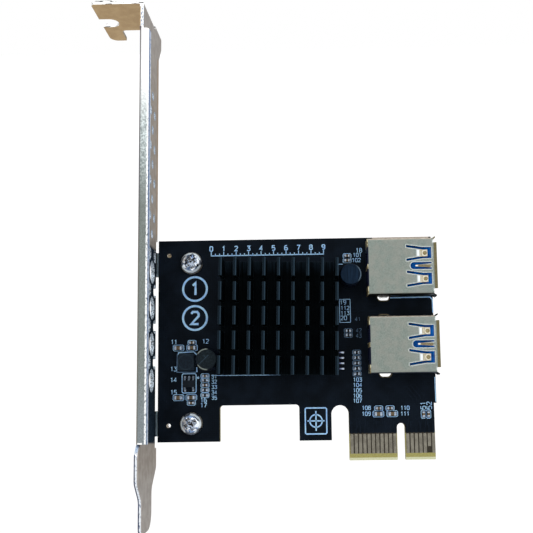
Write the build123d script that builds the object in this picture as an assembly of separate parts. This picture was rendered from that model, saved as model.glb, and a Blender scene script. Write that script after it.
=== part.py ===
from build123d import *
import os

# Riser card: a small circuit board that plugs into an expansion slot, held by a folded
# steel bracket, with a finned cooler and two side-facing ports.
# Frame: X runs along the card from the bracket to the ports, Y runs into the board from
# its component side, Z is up. X = 0 is the centre of the key notch, Z = 0 is the bottom
# edge of the card edge and Y = 0 is the middle of the board's thickness.

# Board
board_thickness = 1.6
board_side_gap = 0.76
board_right = 8.46
board_top = 52.5
foot_level = 4.69
notch_level = 13.05
wide_notch_left = -42.34
wide_notch_right = -23.69
wide_notch_radius = 0.8
guide_notch_top = 12.75
tab_right = -16.16
tongue_left = -12.1
tongue_right = 7.87
tongue_shoulder = 13.0
key_notch_width = 1.9
key_notch_top = 8.45
bevel_height = 0.6
bevel_depth = 0.3
tooling_hole_diameter = 1.0
tooling_hole_edge = 2.6
tooling_hole_heights = (48.9, 8.53)

# Card edge contacts
contact_pitch = 1.0
contact_width = 0.7
contact_thickness = 0.05
contact_bottom = 1.55
contact_top = 6.05
short_contact_bottom = 3.1
key_gap = 3.0
left_contact_count = 11
right_contact_count = 7

# Bracket
sheet = 0.86
bend_radius = 0.6
bracket_outer_x = -58.62
bracket_underside = 105.05
bracket_tip = -14.1
lip_reach = 2.57
lip_proud = 0.64
lip_bottom = 5.5
lip_top = 98.9
lip_corner_radius = 1.0
plate_width = 18.42
head_extra = 3.2
head_bottom = 103.2
head_taper = 4.2
recess_depth = 1.7
recess_top = 52.7
recess_bottom = 3.3
relief_run = 0.3
relief_drop = 0.6
shoulder_out = 1.2
shoulder_top = 3.4
shoulder_bottom = -2.6
far_shoulder_bottom = -1.2
shoulder_radius = 1.6
tongue_near = -14.1
tongue_far = -3.6
taper_height = 4.2
taper_radius = 2.5
near_tip_radius = 1.8
far_tip_radius = 3.8
flange_length = 11.43
flange_far = 2.66
flange_notch_edge = -3.05
flange_notch_reach = 7.5
flange_notch_radius = 1.2
flange_corner_radius = 2.0
slot_width = 4.2
slot_centre = -7.15
slot_depth = 4.3
tab_reach = 13.3
tab_height = 5.9
tab_corner_radius = 1.0
tab_centres = (46.95, 8.94)
vent_centre = -7.6
small_vent_diameter = 2.1
small_vent_spacing = 2.3
small_vent_rows = 5
small_vent_bottom = 53.4
vent_pitch = 8.45
large_vent_diameter = 5.4
side_vent_diameter = 3.2
large_vent_spacing = 3.1
large_vent_rows = 4
large_vent_bottom = 19.1

# Bracket screws
screw_edge = 4.54
screw_thread_diameter = 2.5
screw_hole_clearance = 0.3
screw_head_diameter = 5.3
screw_head_height = 1.9
screw_rim_height = 0.5
screw_turn = 30
screw_length = 4.6
recess_arm = 1.3
recess_width = 0.65
recess_depth_in_head = 1.1

# Cooler
cooler_centre_x = -28.0
cooler_centre_z = 33.24
cooler_turn = 1.2
cooler_base_thickness = 1.8
cooler_underside = 2.0
fin_height = 6.8
fin_columns = 9
fin_rows = 5
fin_pitch = 3.31
fin_root = 1.0
fin_tip = 0.68
fin_row_pitch = 5.57
fin_length = 4.12

# Main chip under the cooler
chip_side = 9.0
chip_thickness = 0.9
solder_gap = 0.06
pad_side = 9.0
pads_per_side = 16
pad_pitch = 0.5
pad_width = 0.25
pad_length = 0.5

# Memory chip
memory_x = -16.0
memory_z = 23.16
memory_body_width = 3.9
memory_body_length = 4.9
memory_body_height = 1.35
memory_span = 6.0
memory_leads_per_side = 4
memory_pitch = 1.27
memory_lead_width = 0.3

# Regulator chip
regulator_x = -49.6
regulator_z = 18.25
regulator_body_length = 2.9
regulator_body_width = 1.6
regulator_body_height = 1.05
regulator_span = 3.0
regulator_pitch = 0.98
regulator_lead_width = 0.4
lead_thickness = 0.18
lead_standoff = 0.1

# Power inductor
inductor_x = -50.1
inductor_z = 23.3
inductor_side = 3.9
inductor_height = 2.0
inductor_corner = 0.6
inductor_edge = 0.15
inductor_terminal_width = 1.1
inductor_terminal_height = 0.4

# Radial capacitors
can_centres = ((-11.3, 42.8), (-44.6, 23.75))
can_diameter = 5.0
can_height = 7.0
can_wall = 0.3
can_rim_radius = 0.5
can_groove_height = 1.3
can_groove_depth = 0.25
can_groove_half = 0.3
bung_height = 1.6
can_lead_spacing = 2.0
can_lead_diameter = 0.5
can_standoff = 0.3

# Small two-ended parts: x, z and turned through a quarter when True
large_chip_size = (1.6, 0.8, 0.75)
small_chip_size = (1.0, 0.5, 0.5)
resistor_size = (1.0, 0.5, 0.35)
end_cap_share = 0.24
end_cap_skin = 0.02
large_chips = (
    (-52.12, 26.7, False),
    (-48.91, 26.7, False),
    (-52.1, 15.03, False),
    (-49.06, 15.03, False),
    (-5.2, 10.63, False),
    (-1.94, 10.63, False),
)
small_chips = (
    (-48.9, 27.93, False),
    (-49.06, 13.76, False),
    (-45.83, 20.02, False),
    (-45.83, 17.89, False),
    (-11.68, 48.13, False),
    (-11.68, 47.04, False),
    (-5.1, 11.93, False),
    (-2.44, 11.93, False),
    (5.35, 10.43, True),
    (6.49, 10.43, True),
)
resistors = (
    (-45.83, 19.03, False),
    (-45.83, 16.74, False),
    (-45.83, 15.5, False),
    (-11.78, 30.16, False),
    (-11.78, 29.16, False),
    (-9.92, 25.05, False),
    (-9.92, 23.8, False),
    (-9.92, 22.53, False),
    (-9.92, 21.27, False),
    (-9.92, 20.01, False),
)

# Ports
port_centres = {"upper": 44.55, "lower": 26.53}
port_rear = -7.35
port_mouth = 7.85
port_width = 13.1
port_height = 5.72
port_lift = 0.98
shell_wall = 0.3
shell_corner = 0.6
lip_width = 10.7
lip_length = 0.75
lip_rise = 0.5
side_lip_length = 0.75
side_lip_rise = 0.5
side_lip_width = 3.4
lip_bend_radius = 0.8
lip_root = 0.8
finger_root_x = 1.65
finger_end_x = 7.02
finger_end_gap = 0.85
finger_neck_x = 5.4
finger_offset = 3.0
finger_root_half = 1.64
finger_neck_half = 1.05
slit_width = 0.52
finger_root_overlap = 0.3
finger_dip = 0.55
finger_fall = 1.2
finger_sag = 0.15
finger_end_sag = 0.2
tongue_slit_x = 3.35
tongue_slit_half = 0.82
latch_tongue_x = 3.7
latch_tongue_tip_half = 0.16
latch_tongue_root_half = 0.48
rear_window_width = 3.3
rear_window_height = 3.6
rear_window_offset = 2.05
leg_x = -3.25
leg_width = 1.9
leg_length = 3.0
leg_chamfer = 0.5
leg_slot_length = 3.1
leg_slot_width = 2.0
insulator_clearance = 0.1
insulator_block_front = -1.5
insulator_tongue_tip = 7.6
insulator_tongue_width = 11.1
insulator_tongue_thickness = 1.84
insulator_tongue_gap = 0.8
insulator_tongue_chamfer = 0.4
port_contact_thickness = 0.25
port_contact_width = 0.7
slow_offsets = (-3.5, -1.0, 1.0, 3.5)
slow_lead_x = -4.8
slow_tip_x = 4.4
slow_crest_x = 3.4
slow_crest = 0.7
slow_tip_sag = 0.1
slow_spring_run = 1.6
fast_offsets = (-4.0, -2.0, 0.0, 2.0, 4.0)
fast_lead_x = -6.3
fast_tip_x = 7.2
fast_step_x = 5.4
fast_step_run = 0.6
fast_depth = 0.6
lead_stub = 1.2
lead_hole_clearance = 0.15

# Derived places
front_face = -board_thickness / 2
back_face = board_thickness / 2
sheet_mid_x = bracket_outer_x + sheet / 2
plate_inner_x = bracket_outer_x + sheet
board_left = plate_inner_x + board_side_gap
tooling_hole_x = board_left + tooling_hole_edge
screw_x = plate_inner_x + tab_reach - screw_edge
plate_far = back_face + sheet
plate_near = plate_far - plate_width
lip_face = plate_near - lip_proud
bracket_top = bracket_underside + sheet
port_top = front_face - port_lift - port_height
port_mid = port_top + port_height / 2


def span_rect(x0, x1, z0, z1):
    """A rectangle in the board's plane between two corners."""
    return Pos((x0 + x1) / 2, (z0 + z1) / 2) * Rectangle(x1 - x0, z1 - z0)


def on_board(sketch, height, start=front_face):
    """Raise a board-plane sketch from a level towards the component side."""
    return extrude(Plane.XZ.offset(-start) * sketch, amount=height)


def strip(points, radius, thickness):
    """Sheet or wire section of one thickness that follows a bent line."""
    line = FilletPolyline(*points, radius=radius)
    return trace(line, thickness)


def solids_of(shapes):
    """One compound that keeps every listed shape as its own solid."""
    return Compound(children=[s for shape in shapes for s in shape.solids()])


def contact_centres():
    """Positions of the card edge contacts on both sides of the key notch."""
    left = [-key_gap / 2 - contact_pitch * i for i in range(left_contact_count)]
    right = [key_gap / 2 + contact_pitch * i for i in range(right_contact_count)]
    return left[::-1] + right


def board_outline():
    """The board's edge with its wide notch, guide notch, key notch and shoulder."""
    face = span_rect(board_left, board_right, foot_level, board_top)
    face += span_rect(tongue_left, tongue_right, 0, tongue_shoulder)
    face -= span_rect(tongue_right, board_right + 1, -1, tongue_shoulder)
    wide = span_rect(wide_notch_left, wide_notch_right, foot_level - 5, notch_level)
    face -= fillet(wide.vertices().group_by(Axis.Y)[-1], wide_notch_radius)
    guide_width = tongue_left - tab_right
    guide_x = (tongue_left + tab_right) / 2
    face -= span_rect(tab_right, tongue_left, -1, guide_notch_top - guide_width / 2)
    face -= Pos(guide_x, guide_notch_top - guide_width / 2) * Circle(guide_width / 2)
    key_half = key_notch_width / 2
    face -= span_rect(-key_half, key_half, -1, key_notch_top - key_half)
    face -= Pos(0, key_notch_top - key_half) * Circle(key_half)
    return face


def port_lead_places():
    """Board positions of all the through leads of both ports."""
    places = []
    for centre in port_centres.values():
        places += [(slow_lead_x, centre + dz) for dz in slow_offsets]
        places += [(fast_lead_x, centre + dz) for dz in fast_offsets]
    return places


def make_board():
    """The drilled and slotted board with the bevelled plug-in edge."""
    face = board_outline()
    for z in tooling_hole_heights:
        face -= Pos(tooling_hole_x, z) * Circle(tooling_hole_diameter / 2)
    for z in tab_centres:
        face -= Pos(screw_x, z) * Circle((screw_thread_diameter + screw_hole_clearance) / 2)
    wall_offset = port_width / 2 - shell_wall / 2
    for centre in port_centres.values():
        for side in (-1, 1):
            slot = SlotOverall(leg_slot_length, leg_slot_width)
            face -= Pos(leg_x, centre + side * wall_offset) * slot
    hole = port_contact_width / 2 + lead_hole_clearance
    for x, z in port_lead_places():
        face -= Pos(x, z) * Circle(hole)
    for x, z in can_centres:
        for side in (-1, 1):
            centre = Pos(x + side * can_lead_spacing / 2, z)
            face -= centre * Circle(can_lead_diameter / 2 + lead_hole_clearance)
    board = on_board(face, board_thickness, back_face)
    for side in (-1, 1):
        edge = side * back_face
        corner = Polyline((edge, 0), (edge, bevel_height), (edge - side * bevel_depth, 0), close=True)
        wedge = Plane.YZ.offset(tongue_left - 1) * make_face(corner)
        board -= extrude(wedge, amount=tongue_right - tongue_left + 2)
    return board


def make_edge_contacts(face_y, side, short_index):
    """Gold fingers on one face; one of them stops short of the edge."""
    fingers = []
    for i, x in enumerate(contact_centres()):
        bottom = short_contact_bottom if i == short_index else contact_bottom
        shape = span_rect(x - contact_width / 2, x + contact_width / 2, bottom, contact_top)
        shape = fillet(shape.vertices().group_by(Axis.Y)[-1], contact_width * 0.3)
        fingers.append(on_board(shape, -side * contact_thickness, face_y))
    return solids_of(fingers)


def round_corners(face, corners, radius):
    """Round the corners of a flat face that lie at the given points."""
    near = [v for v in face.vertices() for y, z in corners if abs(v.X - y) + abs(v.Y - z) < 0.01]
    return fillet(near, radius)


def plate_outline():
    """Flat outline of the bracket plate in Y and Z, without its folds."""
    inside_lip = lip_face + sheet + bend_radius
    shoulder_near = lip_face - shoulder_out
    recess = plate_far - recess_depth
    head_far = plate_far + head_extra
    neck_near = (tongue_near, shoulder_bottom - taper_height)
    neck_far = (tongue_far, far_shoulder_bottom - taper_height)
    near_side = [
        (plate_near, bracket_top - sheet - bend_radius),
        (plate_near, lip_top),
        (inside_lip, lip_top),
        (inside_lip, lip_bottom),
        (lip_face + relief_run, lip_bottom - relief_drop),
        (shoulder_near, shoulder_top),
        (shoulder_near, shoulder_bottom),
        neck_near,
        (tongue_near, bracket_tip),
    ]
    far_side = [
        (tongue_far, bracket_tip),
        neck_far,
        (plate_far, far_shoulder_bottom),
        (plate_far, recess_bottom),
        (recess, recess_bottom),
        (recess, recess_top),
        (plate_far, recess_top),
        (plate_far, head_bottom - head_taper),
        (head_far, head_bottom),
        (head_far, bracket_top),
        (flange_notch_edge, bracket_top),
        (flange_notch_edge, bracket_top - sheet - bend_radius),
    ]
    face = make_face(Polyline(*near_side, *far_side, close=True))
    shoulders = [(shoulder_near, shoulder_top), (shoulder_near, shoulder_bottom)]
    shoulders += [(plate_far, far_shoulder_bottom)]
    face = round_corners(face, shoulders, shoulder_radius)
    face = round_corners(face, [neck_near, neck_far], taper_radius)
    face = round_corners(face, [(tongue_near, bracket_tip)], near_tip_radius)
    return round_corners(face, [(tongue_far, bracket_tip)], far_tip_radius)


def vent_holes():
    """Round vents: a fine staggered field above and a coarser one below."""
    holes = []
    for column in range(-2, 3):
        y = vent_centre + column * small_vent_spacing
        odd = column % 2
        rows = small_vent_rows if odd else small_vent_rows - 1
        start = small_vent_bottom + (0 if odd else vent_pitch / 2)
        holes += [Pos(y, start + vent_pitch * i) * Circle(small_vent_diameter / 2) for i in range(rows)]
        y = vent_centre + column * large_vent_spacing
        diameter = large_vent_diameter if odd else side_vent_diameter
        start = large_vent_bottom + (0 if odd else vent_pitch / 2)
        holes += [Pos(y, start + vent_pitch * i) * Circle(diameter / 2) for i in range(large_vent_rows)]
    return holes


def make_lip():
    """Stiffening lip folded inwards along the plate's near edge."""
    y = lip_face + sheet / 2
    tip = bracket_outer_x + lip_reach
    section = strip([(tip, y), (sheet_mid_x, y), (sheet_mid_x, y + 3 * bend_radius)], bend_radius, sheet)
    lip = extrude(Plane.XY.offset(lip_bottom) * section, amount=lip_top - lip_bottom)
    corner = lip.edges().filter_by(Axis.Y).group_by(Axis.X)[-1].sort_by(Axis.Z)[-1]
    return fillet(corner, lip_corner_radius)


def make_board_tab(centre):
    """Tab folded behind the board, drilled for its screw and tooling hole."""
    y = back_face + sheet / 2
    tip = plate_inner_x + tab_reach
    section = strip([(tip, y), (sheet_mid_x, y), (sheet_mid_x, y - 3 * bend_radius)], bend_radius, sheet)
    tab = extrude(Plane.XY.offset(centre - tab_height / 2) * section, amount=tab_height)
    corners = tab.edges().filter_by(Axis.Y).group_by(Axis.X)[-1]
    tab = fillet(corners, tab_corner_radius)
    thread = Pos(screw_x, centre) * Circle(screw_thread_diameter / 2)
    return tab - on_board(thread, 4 * sheet, back_face + 2 * sheet)


def make_flange():
    """Outward top flange with its screw slot and corner notch."""
    z = bracket_underside + sheet / 2
    end = bracket_outer_x - flange_length
    section = strip([(sheet_mid_x, z - 3 * bend_radius), (sheet_mid_x, z), (end, z)], bend_radius, sheet)
    flange = extrude(Plane.XZ.offset(-flange_far) * section, amount=flange_far - plate_near)
    notch_start = bracket_outer_x - flange_notch_reach
    notch_end = plate_inner_x + sheet
    notch = Rectangle(notch_end - notch_start, 2 * (flange_far - flange_notch_edge))
    notch = fillet(notch.vertices(), flange_notch_radius)
    slot = Pos(end, slot_centre) * Rectangle(2 * slot_depth - slot_width, slot_width)
    slot += Pos(end + slot_depth - slot_width / 2, slot_centre) * Circle(slot_width / 2)
    opening = Pos((notch_start + notch_end) / 2, flange_far) * notch + slot
    flange -= extrude(Plane.XY.offset(bracket_underside - bend_radius) * opening, amount=3 * bend_radius)
    free = flange.edges().filter_by(Axis.Z).group_by(Axis.X)[0].sort_by(Axis.Y)
    flange = fillet(free[-1], flange_corner_radius)
    near = flange.edges().filter_by(Axis.Z).group_by(Axis.X)[0].sort_by(Axis.Y)
    return chamfer(near[0], bend_radius)


def make_bracket():
    """The whole bracket, cut and folded from one sheet."""
    outline = plate_outline()
    for hole in vent_holes():
        outline -= hole
    bracket = extrude(Plane.YZ.offset(bracket_outer_x) * outline, amount=sheet)
    bracket += make_lip()
    bracket += make_flange()
    for centre in tab_centres:
        bracket += make_board_tab(centre)
    through = Pos(tooling_hole_x, tooling_hole_heights[1]) * Circle(tooling_hole_diameter / 2)
    return bracket - on_board(through, 4 * sheet, back_face + 2 * sheet)


def screw_section():
    """Half section of a screw: shank, flat seat and domed head."""
    half = screw_head_diameter / 2
    shank = screw_thread_diameter / 2
    rim = (half, screw_rim_height)
    top = (0, screw_head_height)
    crown = ThreePointArc(rim, (half * 0.72, screw_head_height * 0.87), top)
    edge = Polyline(top, (0, -screw_length), (shank, -screw_length), (shank, 0), (half, 0), rim)
    return make_face(edge + crown)


def make_screw(z):
    """Pan head screw with a cross recess, driven from the component side."""
    screw = revolve(Plane.XZ * screw_section(), Axis.Z)
    arms = Rectangle(2 * recess_arm, recess_width) + Rectangle(recess_width, 2 * recess_arm)
    cross = Plane.XY.offset(screw_head_height - recess_depth_in_head) * arms
    screw -= extrude(cross, amount=recess_depth_in_head + screw_rim_height, taper=-12)
    return Plane(origin=(screw_x, front_face, z), z_dir=(0, -1, 0)) * Rot(0, 0, screw_turn) * screw


def make_cooler():
    """Extruded fin profile, cross-cut into rows of pin fins on a flat base, set on the board a little askew."""
    base_y = front_face - cooler_underside
    root_y = base_y - cooler_base_thickness
    width = (fin_columns - 1) * fin_pitch + fin_root
    length = (fin_rows - 1) * fin_row_pitch + fin_length
    profile = Pos(0, (base_y + root_y) / 2) * Rectangle(width, cooler_base_thickness)
    tip_y = root_y - fin_height
    for i in range(fin_columns):
        x = (i - (fin_columns - 1) / 2) * fin_pitch
        foot = fin_root / 2
        tip = fin_tip / 2
        fin = Polyline((x - foot, root_y), (x + foot, root_y), (x + tip, tip_y), (x - tip, tip_y), close=True)
        profile += make_face(fin)
    bottom = Plane.XY.offset(cooler_centre_z - length / 2)
    cooler = extrude(bottom * Pos(cooler_centre_x, 0) * profile, amount=length)
    gap = fin_row_pitch - fin_length
    for i in range(fin_rows - 1):
        z = cooler_centre_z + (i - (fin_rows - 2) / 2) * fin_row_pitch
        channel = Pos(cooler_centre_x, z) * Rectangle(width + 2, gap)
        cooler -= on_board(channel, fin_height + 1, root_y)
    pivot = Pos(cooler_centre_x, 0, cooler_centre_z)
    return pivot * Rot(0, cooler_turn, 0) * pivot.inverse() * cooler


def make_thermal_pad():
    """Soft pad that fills the space between the chip and the cooler."""
    top_of_chip = solder_gap + chip_thickness
    square = Pos(cooler_centre_x, cooler_centre_z) * Rectangle(pad_side, pad_side)
    return on_board(square, cooler_underside - top_of_chip, front_face - top_of_chip)


def make_main_chip():
    """Leadless square package."""
    square = Pos(cooler_centre_x, cooler_centre_z) * Rectangle(chip_side, chip_side)
    return on_board(square, chip_thickness, front_face - solder_gap)


def make_main_chip_pads():
    """Solder lands under the four sides of the main chip."""
    pads = []
    reach = chip_side / 2 - pad_length / 2
    for side in range(4):
        turn = Pos(cooler_centre_x, cooler_centre_z) * Rot(0, 0, 90 * side)
        for i in range(pads_per_side):
            along = (i - (pads_per_side - 1) / 2) * pad_pitch
            land = turn * Pos(reach, along) * Rectangle(pad_length, pad_width)
            pads.append(on_board(land, solder_gap))
    return solids_of(pads)


def gull_lead(body_half, reach, height, width):
    """One bent lead in X and height, from the body's side down to the board."""
    low = lead_thickness / 2
    mid = (body_half + reach) / 2
    points = [(body_half, height), (mid, height), (mid, low), (reach, low)]
    section = strip(points, lead_thickness * 0.6, lead_thickness)
    return extrude(Plane.XZ.offset(-width / 2) * section, amount=width)


def chip_body(length, width, height):
    """Moulded body with drafted sides, standing a little off the board."""
    lower = extrude(Plane.XY.offset(lead_standoff) * Rectangle(width, length), amount=height / 2)
    middle = Plane.XY.offset(lead_standoff + height / 2) * Rectangle(width, length)
    return lower + extrude(middle, amount=height / 2, taper=8)


def place_on_board(x, z, turn, shape):
    """Stand a shape that was drawn flat on the board at a place and a turn."""
    return Plane(origin=(x, front_face, z), x_dir=(1, 0, 0), z_dir=(0, -1, 0)) * Rot(0, 0, turn) * shape


def lead_row(count, pitch, skip, body_half, reach, height, width):
    """Leads along one side of a chip, leaving out the skipped places."""
    leads = []
    for i in range(count):
        if i not in skip:
            along = (i - (count - 1) / 2) * pitch
            leads.append(Pos(0, along) * gull_lead(body_half, reach, height, width))
    return leads


def make_memory_chip():
    """Body of the eight-lead memory chip."""
    body = chip_body(memory_body_length, memory_body_width, memory_body_height)
    return place_on_board(memory_x, memory_z, 0, body)


def make_memory_leads():
    """Four leads on each side of the memory chip."""
    height = lead_standoff + memory_body_height / 2 - lead_thickness
    leads = []
    for turn in (0, 180):
        row = lead_row(memory_leads_per_side, memory_pitch, (), memory_body_width / 2,
                       memory_span / 2, height, memory_lead_width)
        leads += [place_on_board(memory_x, memory_z, turn, lead) for lead in row]
    return solids_of(leads)


def make_regulator():
    """Body of the five-lead regulator."""
    body = chip_body(regulator_body_length, regulator_body_width, regulator_body_height)
    return place_on_board(regulator_x, regulator_z, 90, body)


def make_regulator_leads():
    """Three leads on the upper side and two on the lower side."""
    height = lead_standoff + regulator_body_height / 2 - lead_thickness
    leads = []
    for turn, skip in ((90, ()), (270, (1,))):
        row = lead_row(3, regulator_pitch, skip, regulator_body_width / 2,
                       regulator_span / 2, height, regulator_lead_width)
        leads += [place_on_board(regulator_x, regulator_z, turn, lead) for lead in row]
    return solids_of(leads)


def make_inductor():
    """Shielded square body with rounded corners, notched for its terminals."""
    square = RectangleRounded(inductor_side, inductor_side, inductor_corner)
    body = extrude(square, amount=inductor_height)
    body = chamfer(body.faces().sort_by(Axis.Z)[-1].edges(), inductor_edge)
    return place_on_board(inductor_x, inductor_z, 0, body) - make_inductor_terminals()


def make_inductor_terminals():
    """Two end terminals let into the foot of the inductor."""
    ends = []
    for side in (-1, 1):
        x = side * (inductor_side / 2 - inductor_terminal_width / 4)
        size = (inductor_terminal_width / 2, inductor_side * 0.6, inductor_terminal_height)
        block = Pos(x, 0, inductor_terminal_height / 2) * Box(*size)
        ends.append(place_on_board(inductor_x, inductor_z, 0, block))
    return solids_of(ends)


def can_section():
    """Half section of the can: drawn cup with a crimp groove near its mouth."""
    outer = can_diameter / 2
    inner = outer - can_wall
    waist = outer - can_groove_depth
    low = can_standoff
    groove = low + can_groove_height
    top = low + can_height
    wall = [(0, top), (outer, top), (outer, groove + can_groove_half), (waist, groove)]
    wall += [(outer, groove - can_groove_half), (outer, low), (inner, low)]
    line = Polyline(*wall, (inner, low + bung_height), (0, low + bung_height), close=True)
    face = make_face(line)
    rim = [v for v in face.vertices() if abs(v.X - outer) < 0.01 and abs(v.Y - top) < 0.01]
    return fillet(rim, can_rim_radius)


def make_cans():
    """Both capacitor cans."""
    can = revolve(Plane.XZ * can_section(), Axis.Z)
    return solids_of([place_on_board(x, z, 0, can) for x, z in can_centres])


def make_bungs():
    """Rubber bungs that close the cans, with holes for the leads."""
    radius = can_diameter / 2 - can_wall
    disc = Circle(radius)
    for side in (-1, 1):
        disc -= Pos(side * can_lead_spacing / 2, 0) * Circle(can_lead_diameter / 2)
    bung = extrude(Plane.XY.offset(can_standoff) * disc, amount=bung_height)
    return solids_of([place_on_board(x, z, 0, bung) for x, z in can_centres])


def make_can_leads():
    """Round leads from the bungs through the board."""
    length = can_standoff + bung_height + board_thickness + lead_stub
    leads = []
    for x, z in can_centres:
        for side in (-1, 1):
            centre = Pos(x + side * can_lead_spacing / 2, z) * Circle(can_lead_diameter / 2)
            leads.append(on_board(centre, length, back_face + lead_stub))
    return solids_of(leads)


def chip_parts(size, places):
    """Bodies and end caps of a list of small two-ended parts."""
    length, width, height = size
    cap = length * end_cap_share
    bodies, caps = [], []
    for x, z, turned in places:
        turn = 90 if turned else 0
        body = Pos(0, 0, end_cap_skin + height / 2) * Box(length - 2 * cap, width, height)
        bodies.append(place_on_board(x, z, turn, body))
        for side in (-1, 1):
            end = Box(cap, width + 2 * end_cap_skin, height + 2 * end_cap_skin)
            end = Pos(side * (length - cap) / 2, 0, end_cap_skin + height / 2) * end
            caps.append(place_on_board(x, z, turn, end))
    return bodies, caps


def finger_outline(grow, start_x, end_x):
    """Tapered outline of a contact spring, widened by a margin on each side."""
    root = finger_root_half + grow
    neck = finger_neck_half + grow
    lower = [(start_x, -root), (finger_neck_x, -neck), (end_x, -neck)]
    upper = [(x, -z) for x, z in reversed(lower)]
    return make_face(Polyline(*lower, *upper, close=True))


def make_finger(side, face_y):
    """Tapered contact spring cut from a shell wall, dipping inwards near its end."""
    inwards = 1 if face_y < port_mid else -1
    mid = face_y + inwards * shell_wall / 2
    start = finger_root_x - finger_root_overlap
    end = finger_end_x - finger_end_gap / 2
    crest = (finger_neck_x + end) / 2
    points = [(start, mid), (finger_neck_x - finger_fall, mid + inwards * finger_sag)]
    points += [(crest, mid + inwards * finger_dip), (end, mid + inwards * finger_end_sag)]
    section = strip(points, finger_fall / 2, shell_wall)
    band = extrude(Plane.XY.offset(-port_width) * section, amount=2 * port_width)
    outline = Pos(0, side * finger_offset) * finger_outline(-slit_width / 2, start, end)
    return band & extrude(Plane.XZ * outline, amount=3 * port_height, both=True)


def finger_window(side):
    """Window left around a contact spring, tapering like the spring."""
    outline = finger_outline(slit_width / 2, finger_root_x, finger_end_x + finger_end_gap / 2)
    return Pos(0, side * finger_offset) * outline


def latch_slit():
    """Slit with a round end around the tapered middle tongue, closed before the mouth."""
    end = finger_end_x + finger_end_gap / 2
    slit = span_rect(tongue_slit_x, end, -tongue_slit_half, tongue_slit_half)
    slit += Pos(tongue_slit_x, 0) * Circle(tongue_slit_half)
    tip = [(latch_tongue_x, -latch_tongue_tip_half), (latch_tongue_x, latch_tongue_tip_half)]
    root = [(end, latch_tongue_root_half), (end, -latch_tongue_root_half)]
    return slit - make_face(Polyline(*tip, *root, close=True))


def make_lips():
    """Flared lips on all four sides of the mouth, drawn about the port's middle."""
    half_height = port_height / 2 - shell_wall / 2
    half_width = port_width / 2 - shell_wall / 2
    start = port_mouth - lip_root
    near = Plane.XY.offset(-lip_width / 2)
    above = Plane.XZ.offset(-port_mid - side_lip_width / 2)
    shapes = []
    for side in (-1, 1):
        y = port_mid + side * half_height
        line = [(start, y), (port_mouth, y), (port_mouth + lip_length, y + side * lip_rise)]
        shapes.append(extrude(near * strip(line, lip_bend_radius, shell_wall), amount=lip_width))
        z = side * half_width
        line = [(start, z), (port_mouth, z), (port_mouth + side_lip_length, z + side * side_lip_rise)]
        shapes.append(extrude(above * strip(line, lip_bend_radius, shell_wall), amount=side_lip_width))
    return shapes


def make_legs():
    """Side legs that pass through the board."""
    wall = port_width / 2 - shell_wall / 2
    top = port_mid
    bottom = back_face + leg_length - board_thickness
    legs = []
    for side in (-1, 1):
        leg = Pos(leg_x, (top + bottom) / 2) * Rectangle(leg_width, bottom - top)
        leg = chamfer(leg.vertices().group_by(Axis.Y)[-1], leg_chamfer)
        z = side * wall - shell_wall / 2
        legs.append(extrude(Plane.XY.offset(z) * leg, amount=shell_wall))
    return legs


def make_port_shell(centre):
    """Sheet shell of one port: sleeve, rear wall, springs, flared lips and legs."""
    mouth_plane = Plane.YZ.offset(port_rear) * Pos(port_mid, 0)
    outer = RectangleRounded(port_height, port_width, shell_corner)
    inner_radius = shell_corner - shell_wall
    inner = RectangleRounded(port_height - 2 * shell_wall, port_width - 2 * shell_wall, inner_radius)
    depth = port_mouth - port_rear
    shell = extrude(mouth_plane * outer, amount=depth)
    shell -= extrude(mouth_plane * inner, amount=depth)
    rear = RectangleRounded(port_height - shell_wall, port_width - shell_wall, inner_radius)
    for side in (-1, 1):
        rear -= Pos(0, side * rear_window_offset) * Rectangle(rear_window_height, rear_window_width)
    shell += extrude(mouth_plane * rear, amount=shell_wall)
    bottom_face = port_top + port_height
    inner_half = port_width / 2 - shell_wall
    open_foot = span_rect(port_rear - 1, insulator_block_front, -inner_half, inner_half)
    shell -= extrude(Plane.XZ.offset(-bottom_face - 1) * open_foot, amount=1 + shell_corner)
    for lip in make_lips():
        shell += lip
    windows = finger_window(-1) + finger_window(1)
    shell -= extrude(Plane.XZ * (windows + latch_slit()), amount=3 * port_height)
    for side in (-1, 1):
        for face_y in (port_top, bottom_face):
            shell += make_finger(side, face_y)
    for leg in make_legs():
        shell += leg
    return Pos(0, 0, centre) * shell


def slow_contact(offset):
    """Spring contact under the tongue, with its lead through the board."""
    tongue_face = port_top + shell_wall + insulator_tongue_gap + insulator_tongue_thickness
    y = tongue_face + port_contact_thickness / 2
    points = [(slow_tip_x, y + slow_tip_sag), (slow_crest_x, y + slow_crest)]
    points += [(slow_crest_x - slow_spring_run, y), (slow_lead_x, y)]
    points += [(slow_lead_x, back_face + lead_stub)]
    section = strip(points, port_contact_thickness, port_contact_thickness)
    plane = Plane.XY.offset(offset - port_contact_width / 2)
    return extrude(plane * section, amount=port_contact_width)


def fast_contact(offset):
    """Flat contact at the tongue's tip, with its lead through the board."""
    tongue_face = port_top + shell_wall + insulator_tongue_gap + insulator_tongue_thickness
    y = tongue_face - port_contact_thickness / 2
    deep = y - fast_depth
    points = [(fast_tip_x, y), (fast_step_x, y)]
    points += [(fast_step_x - fast_step_run, deep), (fast_lead_x, deep)]
    points += [(fast_lead_x, back_face + lead_stub)]
    section = strip(points, port_contact_thickness, port_contact_thickness)
    plane = Plane.XY.offset(offset - port_contact_width / 2)
    return extrude(plane * section, amount=port_contact_width)


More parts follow.
